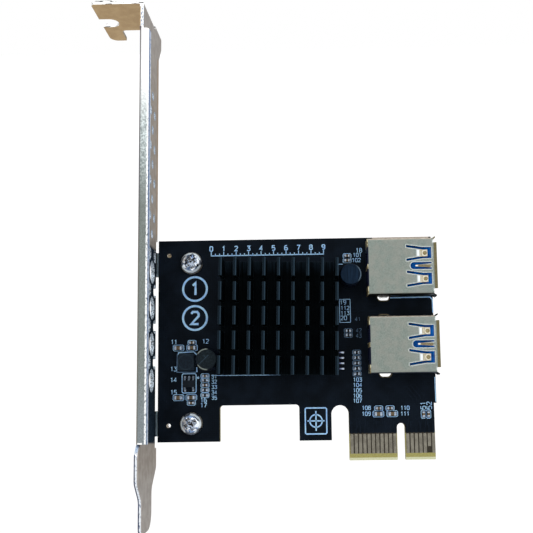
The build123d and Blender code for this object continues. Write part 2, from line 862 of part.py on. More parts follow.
def make_insulator(contacts):
    """Moulded block and tongue of one port, open where the contacts run."""
    half_width = port_width / 2 - shell_wall - insulator_clearance
    top = port_top + shell_wall + insulator_clearance
    back = port_rear + shell_wall + insulator_clearance
    block_height = front_face - top
    block = span_rect(back, insulator_block_front, -half_width, half_width)
    body = extrude(Plane.XZ.offset(-front_face) * block, amount=block_height)
    tongue_top = port_top + shell_wall + insulator_tongue_gap
    tongue_bottom = tongue_top + insulator_tongue_thickness
    tongue = span_rect(insulator_block_front, insulator_tongue_tip, tongue_top, tongue_bottom)
    corner = tongue.vertices().group_by(Axis.X)[-1].sort_by(Axis.Y)[0]
    tongue = chamfer(corner, insulator_tongue_chamfer)
    half_tongue = insulator_tongue_width / 2
    body += extrude(Plane.XY.offset(-half_tongue) * tongue, amount=insulator_tongue_width)
    for contact in contacts:
        body -= contact
    return body


def make_port(centre):
    """Insulator and both contact sets of one port, in their places."""
    slow = [slow_contact(dz) for dz in slow_offsets]
    fast = [fast_contact(dz) for dz in fast_offsets]
    insulator = make_insulator(slow + fast)
    lift = Pos(0, 0, centre)
    return lift * insulator, solids_of([lift * c for c in slow]), solids_of([lift * c for c in fast])


def build_nodes():
    """Every piece of the card by its node name."""
    contact_count = left_contact_count + right_contact_count
    nodes = {
        "circuit_board": make_board(),
        "edge_contacts_front": make_edge_contacts(front_face, -1, contact_count - 2),
        "edge_contacts_back": make_edge_contacts(back_face, 1, 0),
        "bracket": make_bracket(),
        "bracket_screws": solids_of([make_screw(z) for z in tab_centres]),
        "cooler": make_cooler(),
        "thermal_pad": make_thermal_pad(),
        "main_chip": make_main_chip(),
        "main_chip_pads": make_main_chip_pads(),
        "memory_chip": make_memory_chip(),
        "memory_leads": make_memory_leads(),
        "regulator_chip": make_regulator(),
        "regulator_leads": make_regulator_leads(),
        "inductor_core": make_inductor(),
        "inductor_terminals": make_inductor_terminals(),
        "capacitor_cans": make_cans(),
        "capacitor_bungs": make_bungs(),
        "capacitor_leads": make_can_leads(),
    }
    large_bodies, large_caps = chip_parts(large_chip_size, large_chips)
    small_bodies, small_caps = chip_parts(small_chip_size, small_chips)
    nodes["ceramic_bodies"] = solids_of(large_bodies + small_bodies)
    nodes["ceramic_ends"] = solids_of(large_caps + small_caps)
    bodies, caps = chip_parts(resistor_size, resistors)
    nodes["resistor_bodies"] = solids_of(bodies)
    nodes["resistor_ends"] = solids_of(caps)
    for name, centre in port_centres.items():
        insulator, slow, fast = make_port(centre)
        nodes[name + "_port_shell"] = make_port_shell(centre)
        nodes[name + "_port_insulator"] = insulator
        nodes[name + "_port_contacts"] = slow
        nodes[name + "_port_fast_contacts"] = fast
    return nodes


os.makedirs("parts", exist_ok=True)
for node_name, node_shape in build_nodes().items():
    export_step(node_shape, "parts/" + node_name + ".step")
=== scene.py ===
"""Riser card: the finished look of the part, laid over its CAD nodes.

Frame: X runs along the card from the bracket to the ports, Y runs into the board from
its component side and Z is up. Shapes are worked out in millimetres and stored in metres.
"""
from __future__ import annotations

import logging
from collections.abc import Callable, Iterable
from dataclasses import dataclass, field
from enum import Enum
from functools import cached_property, reduce

import bmesh
import bpy
import numpy as np
from mathutils import Matrix


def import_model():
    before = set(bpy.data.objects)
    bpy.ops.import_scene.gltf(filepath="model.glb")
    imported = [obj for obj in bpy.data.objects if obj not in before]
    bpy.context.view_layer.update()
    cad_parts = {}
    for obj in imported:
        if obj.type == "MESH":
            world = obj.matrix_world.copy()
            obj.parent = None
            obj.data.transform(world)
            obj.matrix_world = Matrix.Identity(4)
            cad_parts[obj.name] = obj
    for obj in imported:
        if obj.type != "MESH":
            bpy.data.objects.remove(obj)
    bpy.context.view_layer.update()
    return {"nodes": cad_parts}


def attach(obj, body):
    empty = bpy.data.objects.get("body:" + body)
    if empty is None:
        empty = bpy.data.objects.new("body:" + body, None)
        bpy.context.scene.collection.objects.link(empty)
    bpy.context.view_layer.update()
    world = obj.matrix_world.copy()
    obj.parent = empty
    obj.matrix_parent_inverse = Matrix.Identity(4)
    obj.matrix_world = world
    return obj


LOG = logging.getLogger("riser_card")
MM = 0.001
HALF_BOARD = 0.8
PORT_CENTRES = (44.55, 26.53)
CAN_CENTRES = ((-11.3, 42.8), (-44.6, 23.75))
Points = np.ndarray
Piece = bpy.types.Object
Node = bpy.types.Node
Socket = bpy.types.NodeSocket
Value = object


class Side(Enum):
    """Side of the board; the value is the sign of Y that points away from it."""

    COMPONENT = -1
    SOLDER = 1

    @property
    def face(self) -> float:
        """Return the Y of the board's face on this side in millimetres."""
        return self.value * HALF_BOARD


class Slot(Enum):
    """Material slots of the record, passed to the layer builds, which do not read them."""

    MASK = "solder_mask"
    TIN = "tin_plate"
    SLEEVE = "can_sleeve"
    CERAMIC = "ceramic_tan"


def tone(colour: Value) -> Value:
    """Turn screen levels from 0 to 255 into a linear shader colour.

    Args:
        colour: Red, green and blue level, or a socket, which passes unchanged.

    Returns:
        The socket, or linear red, green, blue and an alpha of one.
    """
    if not isinstance(colour, tuple):
        return colour
    level = np.array(colour) / 255.0
    linear = np.where(level <= 0.04045, level / 12.92, ((level + 0.055) / 1.055) ** 2.4)
    return (*linear.tolist(), 1.0)


class Graph:
    """Shorthand that adds and joins shader nodes in one tree."""

    def __init__(self, tree: bpy.types.NodeTree) -> None:
        """Keep the tree that the nodes go into."""
        self.tree = tree

    def feed(self, socket: Socket, value: Value) -> None:
        """Link a socket to another one, or set it to a constant.

        Args:
            socket: Input that gets the value.
            value: Socket or constant.
        """
        if isinstance(value, Socket):
            self.tree.links.new(value, socket)
        else:
            socket.default_value = value

    def add(self, kind: str, inputs: dict | None = None, **settings: Value) -> Node:
        """Add one node.

        Args:
            kind: Blender's type name of the node.
            inputs: Socket names or indices with a constant or a socket each.
            **settings: Properties of the node itself.

        Returns:
            The new node.
        """
        node = self.tree.nodes.new(kind)
        for key, value in settings.items():
            setattr(node, key, value)
        for key, value in (inputs or {}).items():
            self.feed(node.inputs[key], value)
        return node

    def math(self, operation: str, first: Value, second: Value = 0.0, clamp: bool = False) -> Socket:
        """Return the result of one arithmetic step."""
        inputs = {0: first, 1: second}
        return self.add("ShaderNodeMath", inputs, operation=operation, use_clamp=clamp).outputs[0]

    def vector(self, operation: str, first: Value, second: Value) -> Node:
        """Return a vector arithmetic node with two vector inputs."""
        return self.add("ShaderNodeVectorMath", {0: first, 1: second}, operation=operation)

    def step(self, value: Value, low: float, high: float) -> Socket:
        """Return a smooth step from 0 at low to 1 at high, falling where high is below low."""
        inputs = {0: value, 1: low, 2: high}
        return self.add("ShaderNodeMapRange", inputs, interpolation_type="SMOOTHSTEP").outputs[0]

    def mix(self, share: Value, low: Value, high: Value) -> Socket:
        """Return the blend of two colours, each a socket or three screen levels."""
        inputs = {0: share, 6: tone(low), 7: tone(high)}
        return self.add("ShaderNodeMix", inputs, data_type="RGBA").outputs[2]

    def both(self, *masks: Value) -> Socket:
        """Return the product of several masks or shares."""
        return reduce(lambda result, mask: self.math("MULTIPLY", result, mask), masks)

    def either(self, *masks: Value) -> Socket:
        """Return the greatest of several masks."""
        return reduce(lambda result, mask: self.math("MAXIMUM", result, mask), masks)

    def span(self, low: Value, high: Value, share: Value) -> Socket:
        """Return a number that runs from low to high as the share goes from 0 to 1."""
        return self.add("ShaderNodeMapRange", {0: share, 3: low, 4: high}).outputs[0]

    @cached_property
    def place(self) -> Socket:
        """Return the object coordinates in millimetres."""
        raw = self.add("ShaderNodeTexCoord").outputs["Object"]
        return self.vector("MULTIPLY", raw, (1000.0, 1000.0, 1000.0)).outputs[0]

    @cached_property
    def height(self) -> Socket:
        """Return the height Z in millimetres."""
        return self.add("ShaderNodeSeparateXYZ", {0: self.place}).outputs["Z"]

    def turned(self, axis: tuple[float, float, float]) -> Socket:
        """Return how far the surface faces along an axis, from -1 to 1."""
        normal = self.add("ShaderNodeTexCoord").outputs["Normal"]
        return self.vector("DOT_PRODUCT", normal, axis).outputs["Value"]

    def facing(self, axis: tuple[float, float, float], low: float = 0.6, high: float = 0.9) -> Socket:
        """Return a mask of the surfaces whose normal points along an axis."""
        return self.step(self.turned(axis), low, high)

    def reach(self, x: float, z: float) -> Socket:
        """Return the distance in millimetres from an axis along Y."""
        flat = self.vector("MULTIPLY", self.place, (1.0, 0.0, 1.0)).outputs[0]
        return self.vector("DISTANCE", flat, (x, 0.0, z)).outputs["Value"]

    def band(self, value: Value, low: float, high: float, soft: float) -> Socket:
        """Return a mask of the values between two limits with soft ends."""
        rising = self.step(value, low - soft, low + soft)
        return self.both(rising, self.step(value, high + soft, high - soft))

    def noise(self, place: Value, scale: Value, detail: float = 3.0) -> Socket:
        """Return a cloudy pattern from 0 to 1."""
        inputs = {"Vector": place, "Scale": scale, "Detail": detail}
        return self.add("ShaderNodeTexNoise", inputs).outputs[0]

    def shared(self, effect: Effect, inputs: dict) -> bpy.types.bpy_prop_collection:
        """Place a shared effect group, set its inputs and return its outputs.

        Args:
            effect: The shared effect.
            inputs: Socket names with a constant or a socket each.

        Returns:
            Its output sockets.
        """
        node = self.add("ShaderNodeGroup", node_tree=effect.tree())
        for key, value in inputs.items():
            self.feed(node.inputs[key], value)
        return node.outputs

    def zone(self, low: tuple, high: tuple, soft: float = 0.1) -> Socket:
        """Return a soft-edged mask of the inside of a box in millimetres."""
        inputs = {"Place": self.place, "Low": low, "High": high, "Softness": soft}
        return self.shared(ZONE, inputs)["Mask"]

    def patch(self, under: Value, low: tuple, high: tuple, soft: float, over: Value) -> Socket:
        """Return a colour with another one laid over it inside a box in millimetres."""
        return self.mix(self.zone(low, high, soft), under, over)

    def edges(self, width: float, share: float = 1.0) -> Socket:
        """Return a mask of the sharp edges by their width in millimetres, times a share."""
        return self.both(self.shared(EDGES, {"Width": width * MM})["Mask"], share)

    def grain(self, patches: float, grains: float) -> tuple[Socket, Socket]:
        """Return wide patches and fine grain, each with its number per millimetre."""
        inputs = {"Place": self.place, "Patches per mm": patches, "Grains per mm": grains}
        return tuple(self.shared(GRAIN, inputs))

    def lines(self, scales: tuple) -> Socket:
        """Return drawn lines with their number per millimetre on each axis."""
        return self.shared(LINES, {"Place": self.place, "Lines per mm": scales})["Lines"]


def empty_graph(owner: bpy.types.ID) -> Graph:
    """Switch on the shader nodes of a material or world and clear them.

    Args:
        owner: The material or world.

    Returns:
        Graph of its tree.
    """
    owner.use_nodes = True
    owner.node_tree.nodes.clear()
    return Graph(owner.node_tree)


@dataclass(frozen=True)
class Effect:
    """A shader node group that several finishes share."""

    name: str
    inputs: tuple[tuple[str, str], ...]
    outputs: tuple[tuple[str, str], ...]
    fill: Callable[[Graph, Node, Node], None]

    def tree(self) -> bpy.types.NodeTree:
        """Build the group on first use and return it.

        Returns:
            The node group that materials place.
        """
        known = bpy.data.node_groups.get(self.name)
        if known:
            return known
        tree = bpy.data.node_groups.new(self.name, "ShaderNodeTree")
        for way, sockets in (("INPUT", self.inputs), ("OUTPUT", self.outputs)):
            for label, kind in sockets:
                tree.interface.new_socket(label, in_out=way, socket_type=kind)
        graph = Graph(tree)
        self.fill(graph, graph.add("NodeGroupInput"), graph.add("NodeGroupOutput"))
        return tree


def fill_zone(g: Graph, given: Node, result: Node) -> None:
    """Least distance to the six sides of the box, divided by the softness and held to 0 and 1.

    Args:
        g: Graph of the group.
        given: Input node of the group.
        result: Output node of the group.
    """
    above = g.vector("SUBTRACT", given.outputs["Place"], given.outputs["Low"]).outputs[0]
    below = g.vector("SUBTRACT", given.outputs["High"], given.outputs["Place"]).outputs[0]
    least = g.add("ShaderNodeSeparateXYZ", {0: g.vector("MINIMUM", above, below).outputs[0]}).outputs
    inner = g.math("MINIMUM", g.math("MINIMUM", least[0], least[1]), least[2])
    g.feed(result.inputs["Mask"], g.math("DIVIDE", inner, given.outputs["Softness"], clamp=True))


def fill_edges(g: Graph, given: Node, result: Node) -> None:
    """How far the rounded normal turns away from the true normal.

    Args:
        g: Graph of the group.
        given: Input node of the group.
        result: Output node of the group.
    """
    rounded = g.add("ShaderNodeBevel", {"Radius": given.outputs["Width"]}, samples=4).outputs[0]
    true_normal = g.add("ShaderNodeNewGeometry").outputs["True Normal"]
    same = g.vector("DOT_PRODUCT", rounded, true_normal).outputs["Value"]
    g.feed(result.inputs["Mask"], g.step(same, 0.995, 0.86))


def fill_grain(g: Graph, given: Node, result: Node) -> None:
    """Wide cloudy patches and a fine sharp grain from two noises.

    Args:
        g: Graph of the group.
        given: Input node of the group.
        result: Output node of the group.
    """
    place, patch_scale, grain_scale = given.outputs[:3]
    patches = g.noise(place, patch_scale, 4.0)
    grain = g.noise(place, grain_scale, 2.0)
    g.feed(result.inputs["Patches"], g.step(patches, 0.34, 0.66))
    g.feed(result.inputs["Grain"], g.step(grain, 0.3, 0.7))


def fill_lines(g: Graph, given: Node, result: Node) -> None:
    """Noise squeezed to different scales on the three axes, which leaves drawn lines."""
    squeezed = g.vector("MULTIPLY", given.outputs["Place"], given.outputs["Lines per mm"]).outputs[0]
    g.feed(result.inputs["Lines"], g.step(g.noise(squeezed, 1.0, 3.0), 0.3, 0.7))


NUMBER, VECTOR = "NodeSocketFloat", "NodeSocketVector"
ZONE = Effect("box_zone", (("Place", VECTOR), ("Low", VECTOR), ("High", VECTOR), ("Softness", NUMBER)),
              (("Mask", NUMBER),), fill_zone)
EDGES = Effect("edge_light", (("Width", NUMBER),), (("Mask", NUMBER),), fill_edges)
GRAIN = Effect("surface_grain", (("Place", VECTOR), ("Patches per mm", NUMBER), ("Grains per mm", NUMBER)),
               (("Patches", NUMBER), ("Grain", NUMBER)), fill_grain)
LINES = Effect("drawn_lines", (("Place", VECTOR), ("Lines per mm", VECTOR)), (("Lines", NUMBER),),
               fill_lines)


@dataclass
class Surface:
    """What a finish works out for each point: colour, roughness, height and share of metal."""

    colour: Value
    roughness: Value
    height: Value = 0.0
    metal: Value | None = None


FINISHED: dict[str, bpy.types.Material] = {}


@dataclass(frozen=True)
class Finish:
    """Base of the finishes: plain shader values and the build step they share."""

    title: str
    metallic: float = 0.0
    specular: float = 0.3
    relief: float = 0.01

    def surface(self, g: Graph) -> Surface:
        """Work out the surface; each finish has its own."""
        raise NotImplementedError

    def material(self) -> bpy.types.Material:
        """Build the material once and return it.

        Returns:
            The material named after the finish.
        """
        if self.title in FINISHED:
            return FINISHED[self.title]
        made = bpy.data.materials.new("finish_" + self.title)
        g = empty_graph(made)
        look = self.surface(g)
        normal = g.add("ShaderNodeBump", {"Height": look.height, "Distance": self.relief * MM}).outputs[0]
        values = {"Base Color": look.colour, "Roughness": look.roughness, "Normal": normal,
                  "Metallic": self.metallic if look.metal is None else look.metal,
                  "Specular IOR Level": self.specular}
        shader = g.add("ShaderNodeBsdfPrincipled", values)
        g.add("ShaderNodeOutputMaterial", {"Surface": shader.outputs[0]})
        FINISHED[self.title] = made
        return made


@dataclass(frozen=True)
class SolderMask(Finish):
    """Near black board coating, with bare laminate at the plug-in edge and on the cut sides."""

    specular: float = 0.03
    tongue_left: float = -12.3
    tongue_right: float = 8.0

    def surface(self, g: Graph) -> Surface:
        """Coating by zones: coating, finger gaps, bare margins, bare band, bevel and cut sides.

        Args:
            g: Graph of the material.

        Returns:
            Colour, roughness, relief and share of metal.
        """
        patches, grain = g.grain(0.22, 6.0)
        weave = g.both(self.strand(g, "X"), self.strand(g, "Z"))
        coating = g.mix(patches, (10, 16, 23), (17, 25, 35))
        coating = g.mix(g.both(weave, 0.2), coating, (27, 38, 50))
        laminate = g.mix(grain, (148, 142, 86), (176, 170, 108))
        gaps = g.mix(grain, (44, 40, 34), (70, 66, 58))
        coating = g.mix(self.across(g, 1.5, 6.3), coating, gaps)
        for x0, x1 in ((self.tongue_left, -11.88), (-1.12, 1.12), (7.64, self.tongue_right)):
            coating = g.patch(coating, (x0, -2, -1), (x1, 2, 6.2), 0.06, laminate)
        coating = g.mix(self.across(g, -1, 1.62), coating, laminate)
        bevel = g.mix(grain, (206, 208, 168), (226, 228, 196))
        coating = g.mix(self.across(g, -1, 0.66), coating, bevel)
        # A pale strip along the top of the board above the upper port.
        pale_top_strip = g.mix(grain, (176, 160, 146), (206, 196, 184))
        coating = g.patch(coating, (-5.6, -2, 51.25), (7.9, 0, 53), 0.08, pale_top_strip)
        cut_side = g.step(g.math("ABSOLUTE", g.turned((0, 1, 0))), 0.5, 0.25)
        side_tone = g.mix(grain, (96, 88, 40), (158, 148, 84))
        # Painted light: the walls of the holes by the bracket tabs are painted near white so that they look
        # lit.
        side_tone = g.patch(side_tone, (-55.4, -2, 3), (-53.4, 2, 50), 0.1, (250, 244, 232))
        return Surface(g.mix(cut_side, coating, side_tone), g.span(0.38, 0.55, grain), weave)

    def across(self, g: Graph, low: float, high: float) -> Socket:
        """Return a mask of the plug-in tongue between two heights."""
        return g.zone((self.tongue_left, -2, low), (self.tongue_right, 2, high), 0.08)

    def strand(self, g: Graph, axis: str) -> Socket:
        """Return the glass strands under the coating that run across one axis."""
        inputs = {"Vector": g.place, "Scale": 0.62, "Distortion": 0.4}
        return g.add("ShaderNodeTexWave", inputs, bands_direction=axis).outputs["Fac"]


@dataclass(frozen=True)
class PrintInk(Finish):
    """Pale screen print with a slightly broken edge and thin spots."""

    light: tuple = (176, 222, 255)
    thin: tuple = (118, 166, 240)

    def surface(self, g: Graph) -> Surface:
        """Light ink, thinner in specks.

        Args:
            g: Graph of the material.

        Returns:
            Colour, roughness, relief and share of metal.
        """
        patches, grain = g.grain(0.9, 14.0)
        share = g.both(patches, grain)
        return Surface(g.mix(share, self.light, self.thin), 0.6, grain)


@dataclass(frozen=True)
class PlatedMetal(Finish):
    """Plated metal with drawn lines along one axis, dull patches and edges painted lighter as highlights.
    """

    metallic: float = 0.9
    bright: tuple = (190, 186, 176)
    dull: tuple = (140, 134, 122)
    edge: tuple = (226, 226, 220)
    edge_width: float = 0.08
    patches: float = 0.8
    lines: tuple = (12.0, 12.0, 1.0)
    rough: tuple = (0.25, 0.42)

    def surface(self, g: Graph) -> Surface:
        """Bright and dull plating mixed by patches and lines, with edges painted lighter as highlights.

        Args:
            g: Graph of the material.

        Returns:
            Colour, roughness, relief and share of metal.
        """
        patches, grain = g.grain(self.patches, 9.0)
        lines = g.lines(self.lines)
        share = g.math("MULTIPLY_ADD", patches, 0.6)
        g.feed(share.node.inputs[2], g.both(lines, 0.4))
        colour = g.mix(share, self.bright, self.dull)
        # Painted highlight along the edges.
        colour = g.mix(g.edges(self.edge_width, 0.7), colour, self.edge)
        return Surface(colour, g.span(*self.rough, grain), lines)


@dataclass(frozen=True)
class BracketPlate(Finish):
    """Nickel plated bracket sheet, with a tone for each of its folded and cut faces, painted highlights,
    painted shade and a painted reflection of the board.
    """

    metallic: float = 0.9
    specular: float = 0.0
    relief: float = 0.012
    outer: float = -58.62
    lip_free_edge: float = -56.05
    lip_foot: float = 5.5
    lip_top: float = 99.8
    mirror_lean: float = 0.0776
    tab_hole: tuple = (-54.4, 48.9)

    def surface(self, g: Graph) -> Surface:
        """Sheet tones, then cut edges, the mirroring side, tabs, vent walls and the lip.

        Args:
            g: Graph of the material.

        Returns:
            Colour, roughness, relief and share of metal.
        """
        patches, grain = g.grain(0.45, 4.5)
        lines = g.lines((5.0, 5.0, 1.4))
        inner = g.facing((1, 0, 0))
        front = g.facing((0, -1, 0), 0.4, 0.7)
        colour = self.sheet_tone(g, patches)
        # Painted highlight along the sharp edges.
        edge_highlight = g.edges(0.1, 0.6)
        colour = g.mix(front, g.mix(edge_highlight, colour, (226, 230, 232)), self.cut_tone(g, lines, colour))
        beside = self.beside(g)
        shaded = self.board_mirror(g, grain, lines)
        glance = self.glance(g, beside)
        colour = g.mix(g.both(inner, beside), colour, g.mix(glance, colour, shaded))
        # Painted light: the tabs' front faces, in shade between the plate and the board, are painted pale
        # bluish white.
        tabs = g.both(front, g.zone((-57.9, 0, 3), (-50, 3, 54), 0.1))
        colour = g.mix(tabs, colour, g.mix(lines, (150, 182, 206), (206, 228, 244)))
        # Painted light: the tab behind the upper tooling hole is painted near white so that it looks lit
        # through the hole.
        seen = g.both(tabs, g.step(g.reach(*self.tab_hole), 1.0, 0.8))
        colour = g.mix(seen, colour, (255, 242, 218))
        # Painted light: the shaded corner between the lip's foot and the plate is painted bluish white.
        painted_light_below_lip = g.mix(lines, (214, 228, 244), (150, 170, 198))
        colour = g.patch(colour, (-60, -18.3, 3.9), (-57.9, -15.4, 5.56), 0.1, painted_light_below_lip)
        # Vent walls painted with light and shade.
        colour = g.mix(self.hole_walls(g), colour, self.wall_tone(g, beside, grain))
        lip = g.zone((-60, -17.9, 5.42), (-55.9, -16.4, self.lip_top), 0.05)
        lip = g.both(g.facing((0, -1, 0), 0.3, 0.5), lip)
        colour = g.mix(lip, colour, self.lip_tone(g, grain, lines))
        # Painted highlight on the lip's free edge, streaked with bluish grey.
        free_edge = g.zone((self.lip_free_edge - 0.2, -18, 4.5), (-55, -16, self.lip_top), 0.05)
        edge_tone = g.mix(g.step(lines, 0.35, 0.65), (232, 240, 250), (156, 176, 208))
        colour = g.mix(g.both(inner, free_edge), colour, edge_tone)
        metal = g.span(self.metallic, 0.0, g.either(tabs, g.both(inner, glance)))
        return Surface(colour, g.span(g.span(0.36, 0.5, grain), 0.3, inner), grain, metal)

    def sheet_tone(self, g: Graph, patches: Value) -> Socket:
        """Return the tone of the flat sheet: brownish grey, lighter at both ends, and the tan flange.

        Args:
            g: Graph of the material.
            patches: Wide patches from 0 to 1.

        Returns:
            The blended tone.
        """
        plate = g.mix(patches, (150, 142, 134), (166, 158, 150))
        ends = g.either(g.step(g.height, 84, 100), g.step(g.height, 2, -6))
        plate = g.mix(ends, plate, g.mix(patches, (160, 154, 149), (172, 167, 162)))
        rear_edge = g.zone((-60, -0.6, 54), (-57, 3, 99), 0.4)
        plate = g.mix(g.both(rear_edge, 0.6), plate, (162, 140, 116))
        flange = g.mix(patches, (162, 135, 96), (174, 148, 108))
        return g.patch(plate, (-72, -20, 104.4), (-58.4, 6, 105.5), 0.2, flange)

    def cut_tone(self, g: Graph, lines: Value, sheet: Value) -> Socket:
        """Return the tone of cut edges: painted white as a highlight and broken by dark marks, dark along
        the outer arris, plain inside.

        Args:
            g: Graph of the material.
            lines: Drawn lines from 0 to 1.
            sheet: Tone of the flat sheet.

        Returns:
            The blended tone.
        """
        long_lines = g.lines((0.5, 0.8, 3.4))
        # Painted highlight: the cut faces are painted white with bluish grey streaks.
        cut = g.mix(g.step(lines, 0.7, 0.85), (236, 242, 248), (120, 130, 152))
        outer, inside = self.outer, self.outer + 1.2
        broken_highlight = g.mix(g.step(long_lines, 0.68, 0.8), (250, 250, 248), (70, 70, 74))
        cut = g.patch(cut, (-72, -20, 104.3), (inside, 6, 106), 0.1, broken_highlight)
        cut = g.patch(cut, (outer + 0.62, -20, -20), (inside, 5, 5), 0.1, sheet)
        arris = g.mix(g.step(lines, 0.5, 0.8), (52, 56, 76), (96, 104, 126))
        cut = g.patch(cut, (outer - 0.3, -20, -20), (outer + 0.3, 5, 3.6), 0.08, arris)
        return g.patch(cut, (outer - 0.3, -20, 99), (outer + 0.22, 5, 104.4), 0.08, (168, 142, 104))

    def beside(self, g: Graph) -> Socket:
        """Return a mask of the plate beside the board, whose lower end leans as a mirror image does."""
        leaning = g.vector("DOT_PRODUCT", g.place, (0.0, self.mirror_lean, 1.0)).outputs["Value"]
        return g.both(g.step(leaning, 4.2, 4.7), g.zone((-60, -20, 0), (-50, 5, 50.8), 0.8))

    def glance(self, g: Graph, beside: Value) -> Socket:
        """Return a mask of the surfaces that are seen almost edge-on, wider beside the board."""
        facing = g.add("ShaderNodeLayerWeight", {"Blend": 0.5}).outputs["Facing"]
        return g.either(g.step(facing, 0.6, 0.85), g.both(beside, g.step(facing, 0.4, 0.68)))

    def board_mirror(self, g: Graph, grain: Value, lines: Value) -> Socket:
        """Return the dark streaked tone of the plate where it mirrors the board beside it."""
        return g.mix(g.both(grain, lines), (13, 24, 35), (64, 80, 96))

    def hole_walls(self, g: Graph) -> Socket:
        """Return a mask of the vent walls, which run through the sheet's thickness."""
        across = g.step(g.math("ABSOLUTE", g.turned((1, 0, 0))), 0.6, 0.3)
        return g.both(g.zone((-58.6, -16, 16), (-57.7, 0.8, 99), 0.03), across)

    def wall_tone(self, g: Graph, beside: Value, grain: Value) -> Socket:
        """Return the vent wall tone: painted pale blue as light above the board, greyer and darker beside
        it as painted shade.
        """
        pale = g.mix(grain, (150, 168, 184), (232, 240, 250))
        return g.mix(beside, pale, g.mix(g.step(grain, 0.2, 0.6), (70, 70, 72), (186, 200, 212)))

    def lip_tone(self, g: Graph, grain: Value, lines: Value) -> Socket:
        """Return the lip face: grey below turning white above as painted light, a bend painted dark as
        shade, bright dashes painted as highlights and a thin dark line painted as shade.

        Args:
            g: Graph of the material.
            grain: Fine grain from 0 to 1.
            lines: Drawn lines from 0 to 1.

        Returns:
            The blended tone.
        """
        speckle = g.grain(1.3, 2.2)[1]
        low = g.mix(grain, (112, 119, 115), (136, 143, 140))
        low = g.mix(g.step(g.height, 26, 8), low, g.mix(grain, (122, 130, 134), (146, 154, 158)))
        # Painted light: the face turns from grey through speckled light grey to white towards the top.
        middle = g.mix(speckle, (140, 150, 150), (214, 224, 224))
        face = g.mix(g.step(g.height, 56, 74), low, middle)
        face = g.mix(g.step(g.height, 74, 90), face, (248, 250, 250))
        edge = self.lip_free_edge
        # Painted highlights: bright dashes near the free edge.
        dashes = g.zone((edge - 0.74, -18, 4.5), (edge - 0.2, -16, self.lip_top), 0.1)
        face = g.mix(g.both(dashes, g.step(lines, 0.15, 0.35)), face, (250, 252, 252))
        # Painted shade: a thin dark line along the free edge, darker higher up.
        weak = g.mix(lines, (64, 80, 110), (150, 166, 192))
        strong = g.mix(lines, (48, 64, 106), (104, 124, 162))
        line = g.mix(g.step(g.height, 40, 60), weak, strong)
        face = g.patch(face, (edge - 0.3, -18, 4.5), (edge + 0.02, -16, 99.2), 0.06, line)
        # Painted highlight: the lip's lower cut edge is painted white.
        foot_top = self.lip_foot + 0.4
        low, high = (self.outer + 0.2, -18, 5), (self.outer + 1.5, -16, foot_top)
        face = g.patch(face, low, high, 0.08, (252, 253, 253))
        # Painted shade on the bend at the outer arris, darker higher up.
        dark = g.mix(grain, (78, 70, 80), (106, 100, 106))
        faint = g.mix(grain, (100, 97, 88), (120, 116, 106))
        bend = g.mix(g.step(g.height, 44, 62), faint, dark)
        low, high = (self.outer - 0.2, -18, 4.5), (self.outer + 0.46, -16, self.lip_top)
        return g.patch(face, low, high, 0.14, bend)


@dataclass(frozen=True)
class ScrewNickel(Finish):
    """Bright screw plating with painted reflections as hard dark and light patches, a rim painted white as
    a highlight, a recess painted dark as shade and an outer flank painted dark as shade.
    """

    metallic: float = 0.95
    centres: tuple = ((-49.0, 46.95), (-49.0, 8.94))
    rim: tuple = (1.98, 2.42)
    recess: float = 1.6

    def surface(self, g: Graph) -> Surface:
        """Painted reflections as patches over the dome, a rim painted bright as a highlight and broken by
        painted shade, a recess painted dark as shade with painted highlights on its flanks, edges painted
        as highlights and an outer flank painted dark as shade.

        Args:
            g: Graph of the material.

        Returns:
            Colour, roughness, relief and share of metal.
        """
        patches, grain = g.grain(0.8, 1.3)
        # Painted reflections: hard white and dark bluish patches over the dome.
        dark = g.mix(g.step(grain, 0.25, 0.5), (36, 40, 54), (122, 146, 182))
        colour = g.mix(g.step(patches, 0.24, 0.4), (240, 247, 255), dark)
        low, high = self.rim
        reaches = [g.reach(*centre) for centre in self.centres]
        rim = g.either(*(g.band(reach, low, high, 0.08) for reach in reaches))
        shaded_flank = g.either(*(g.band(reach, high + 0.02, high + 0.5, 0.06) for reach in reaches))
        deep = g.either(*(self.recess_box(g, x, z) for x, z in self.centres))
        broken = g.step(g.noise(g.place, 0.5, 1.0), 0.42, 0.5)
        # Painted highlight on the rim, broken by painted shade.
        colour = g.mix(rim, colour, g.mix(broken, (78, 84, 94), (236, 248, 255)))
        # Painted shade in the recess, with painted highlights on its flanks.
        recess = g.mix(g.step(grain, 0.4, 0.7), (30, 28, 30), (176, 190, 208))
        colour = g.mix(deep, colour, recess)
        # Painted highlight along the edges.
        colour = g.mix(g.edges(0.16, 0.8), colour, (248, 250, 252))
        # Painted shade on the outer flank of each head.
        colour = g.mix(shaded_flank, colour, g.mix(broken, (34, 38, 46), (120, 116, 108)))
        metal = g.span(self.metallic, 0.15, g.either(rim, shaded_flank))
        return Surface(colour, g.span(0.16, 0.32, grain), patches, metal)

    def recess_box(self, g: Graph, x: float, z: float) -> Socket:
        """Return a mask of the recess in one head."""
        half = self.recess
        return g.zone((x - half, -2.3, z - half), (x + half, -1.2, z + half), 0.25)


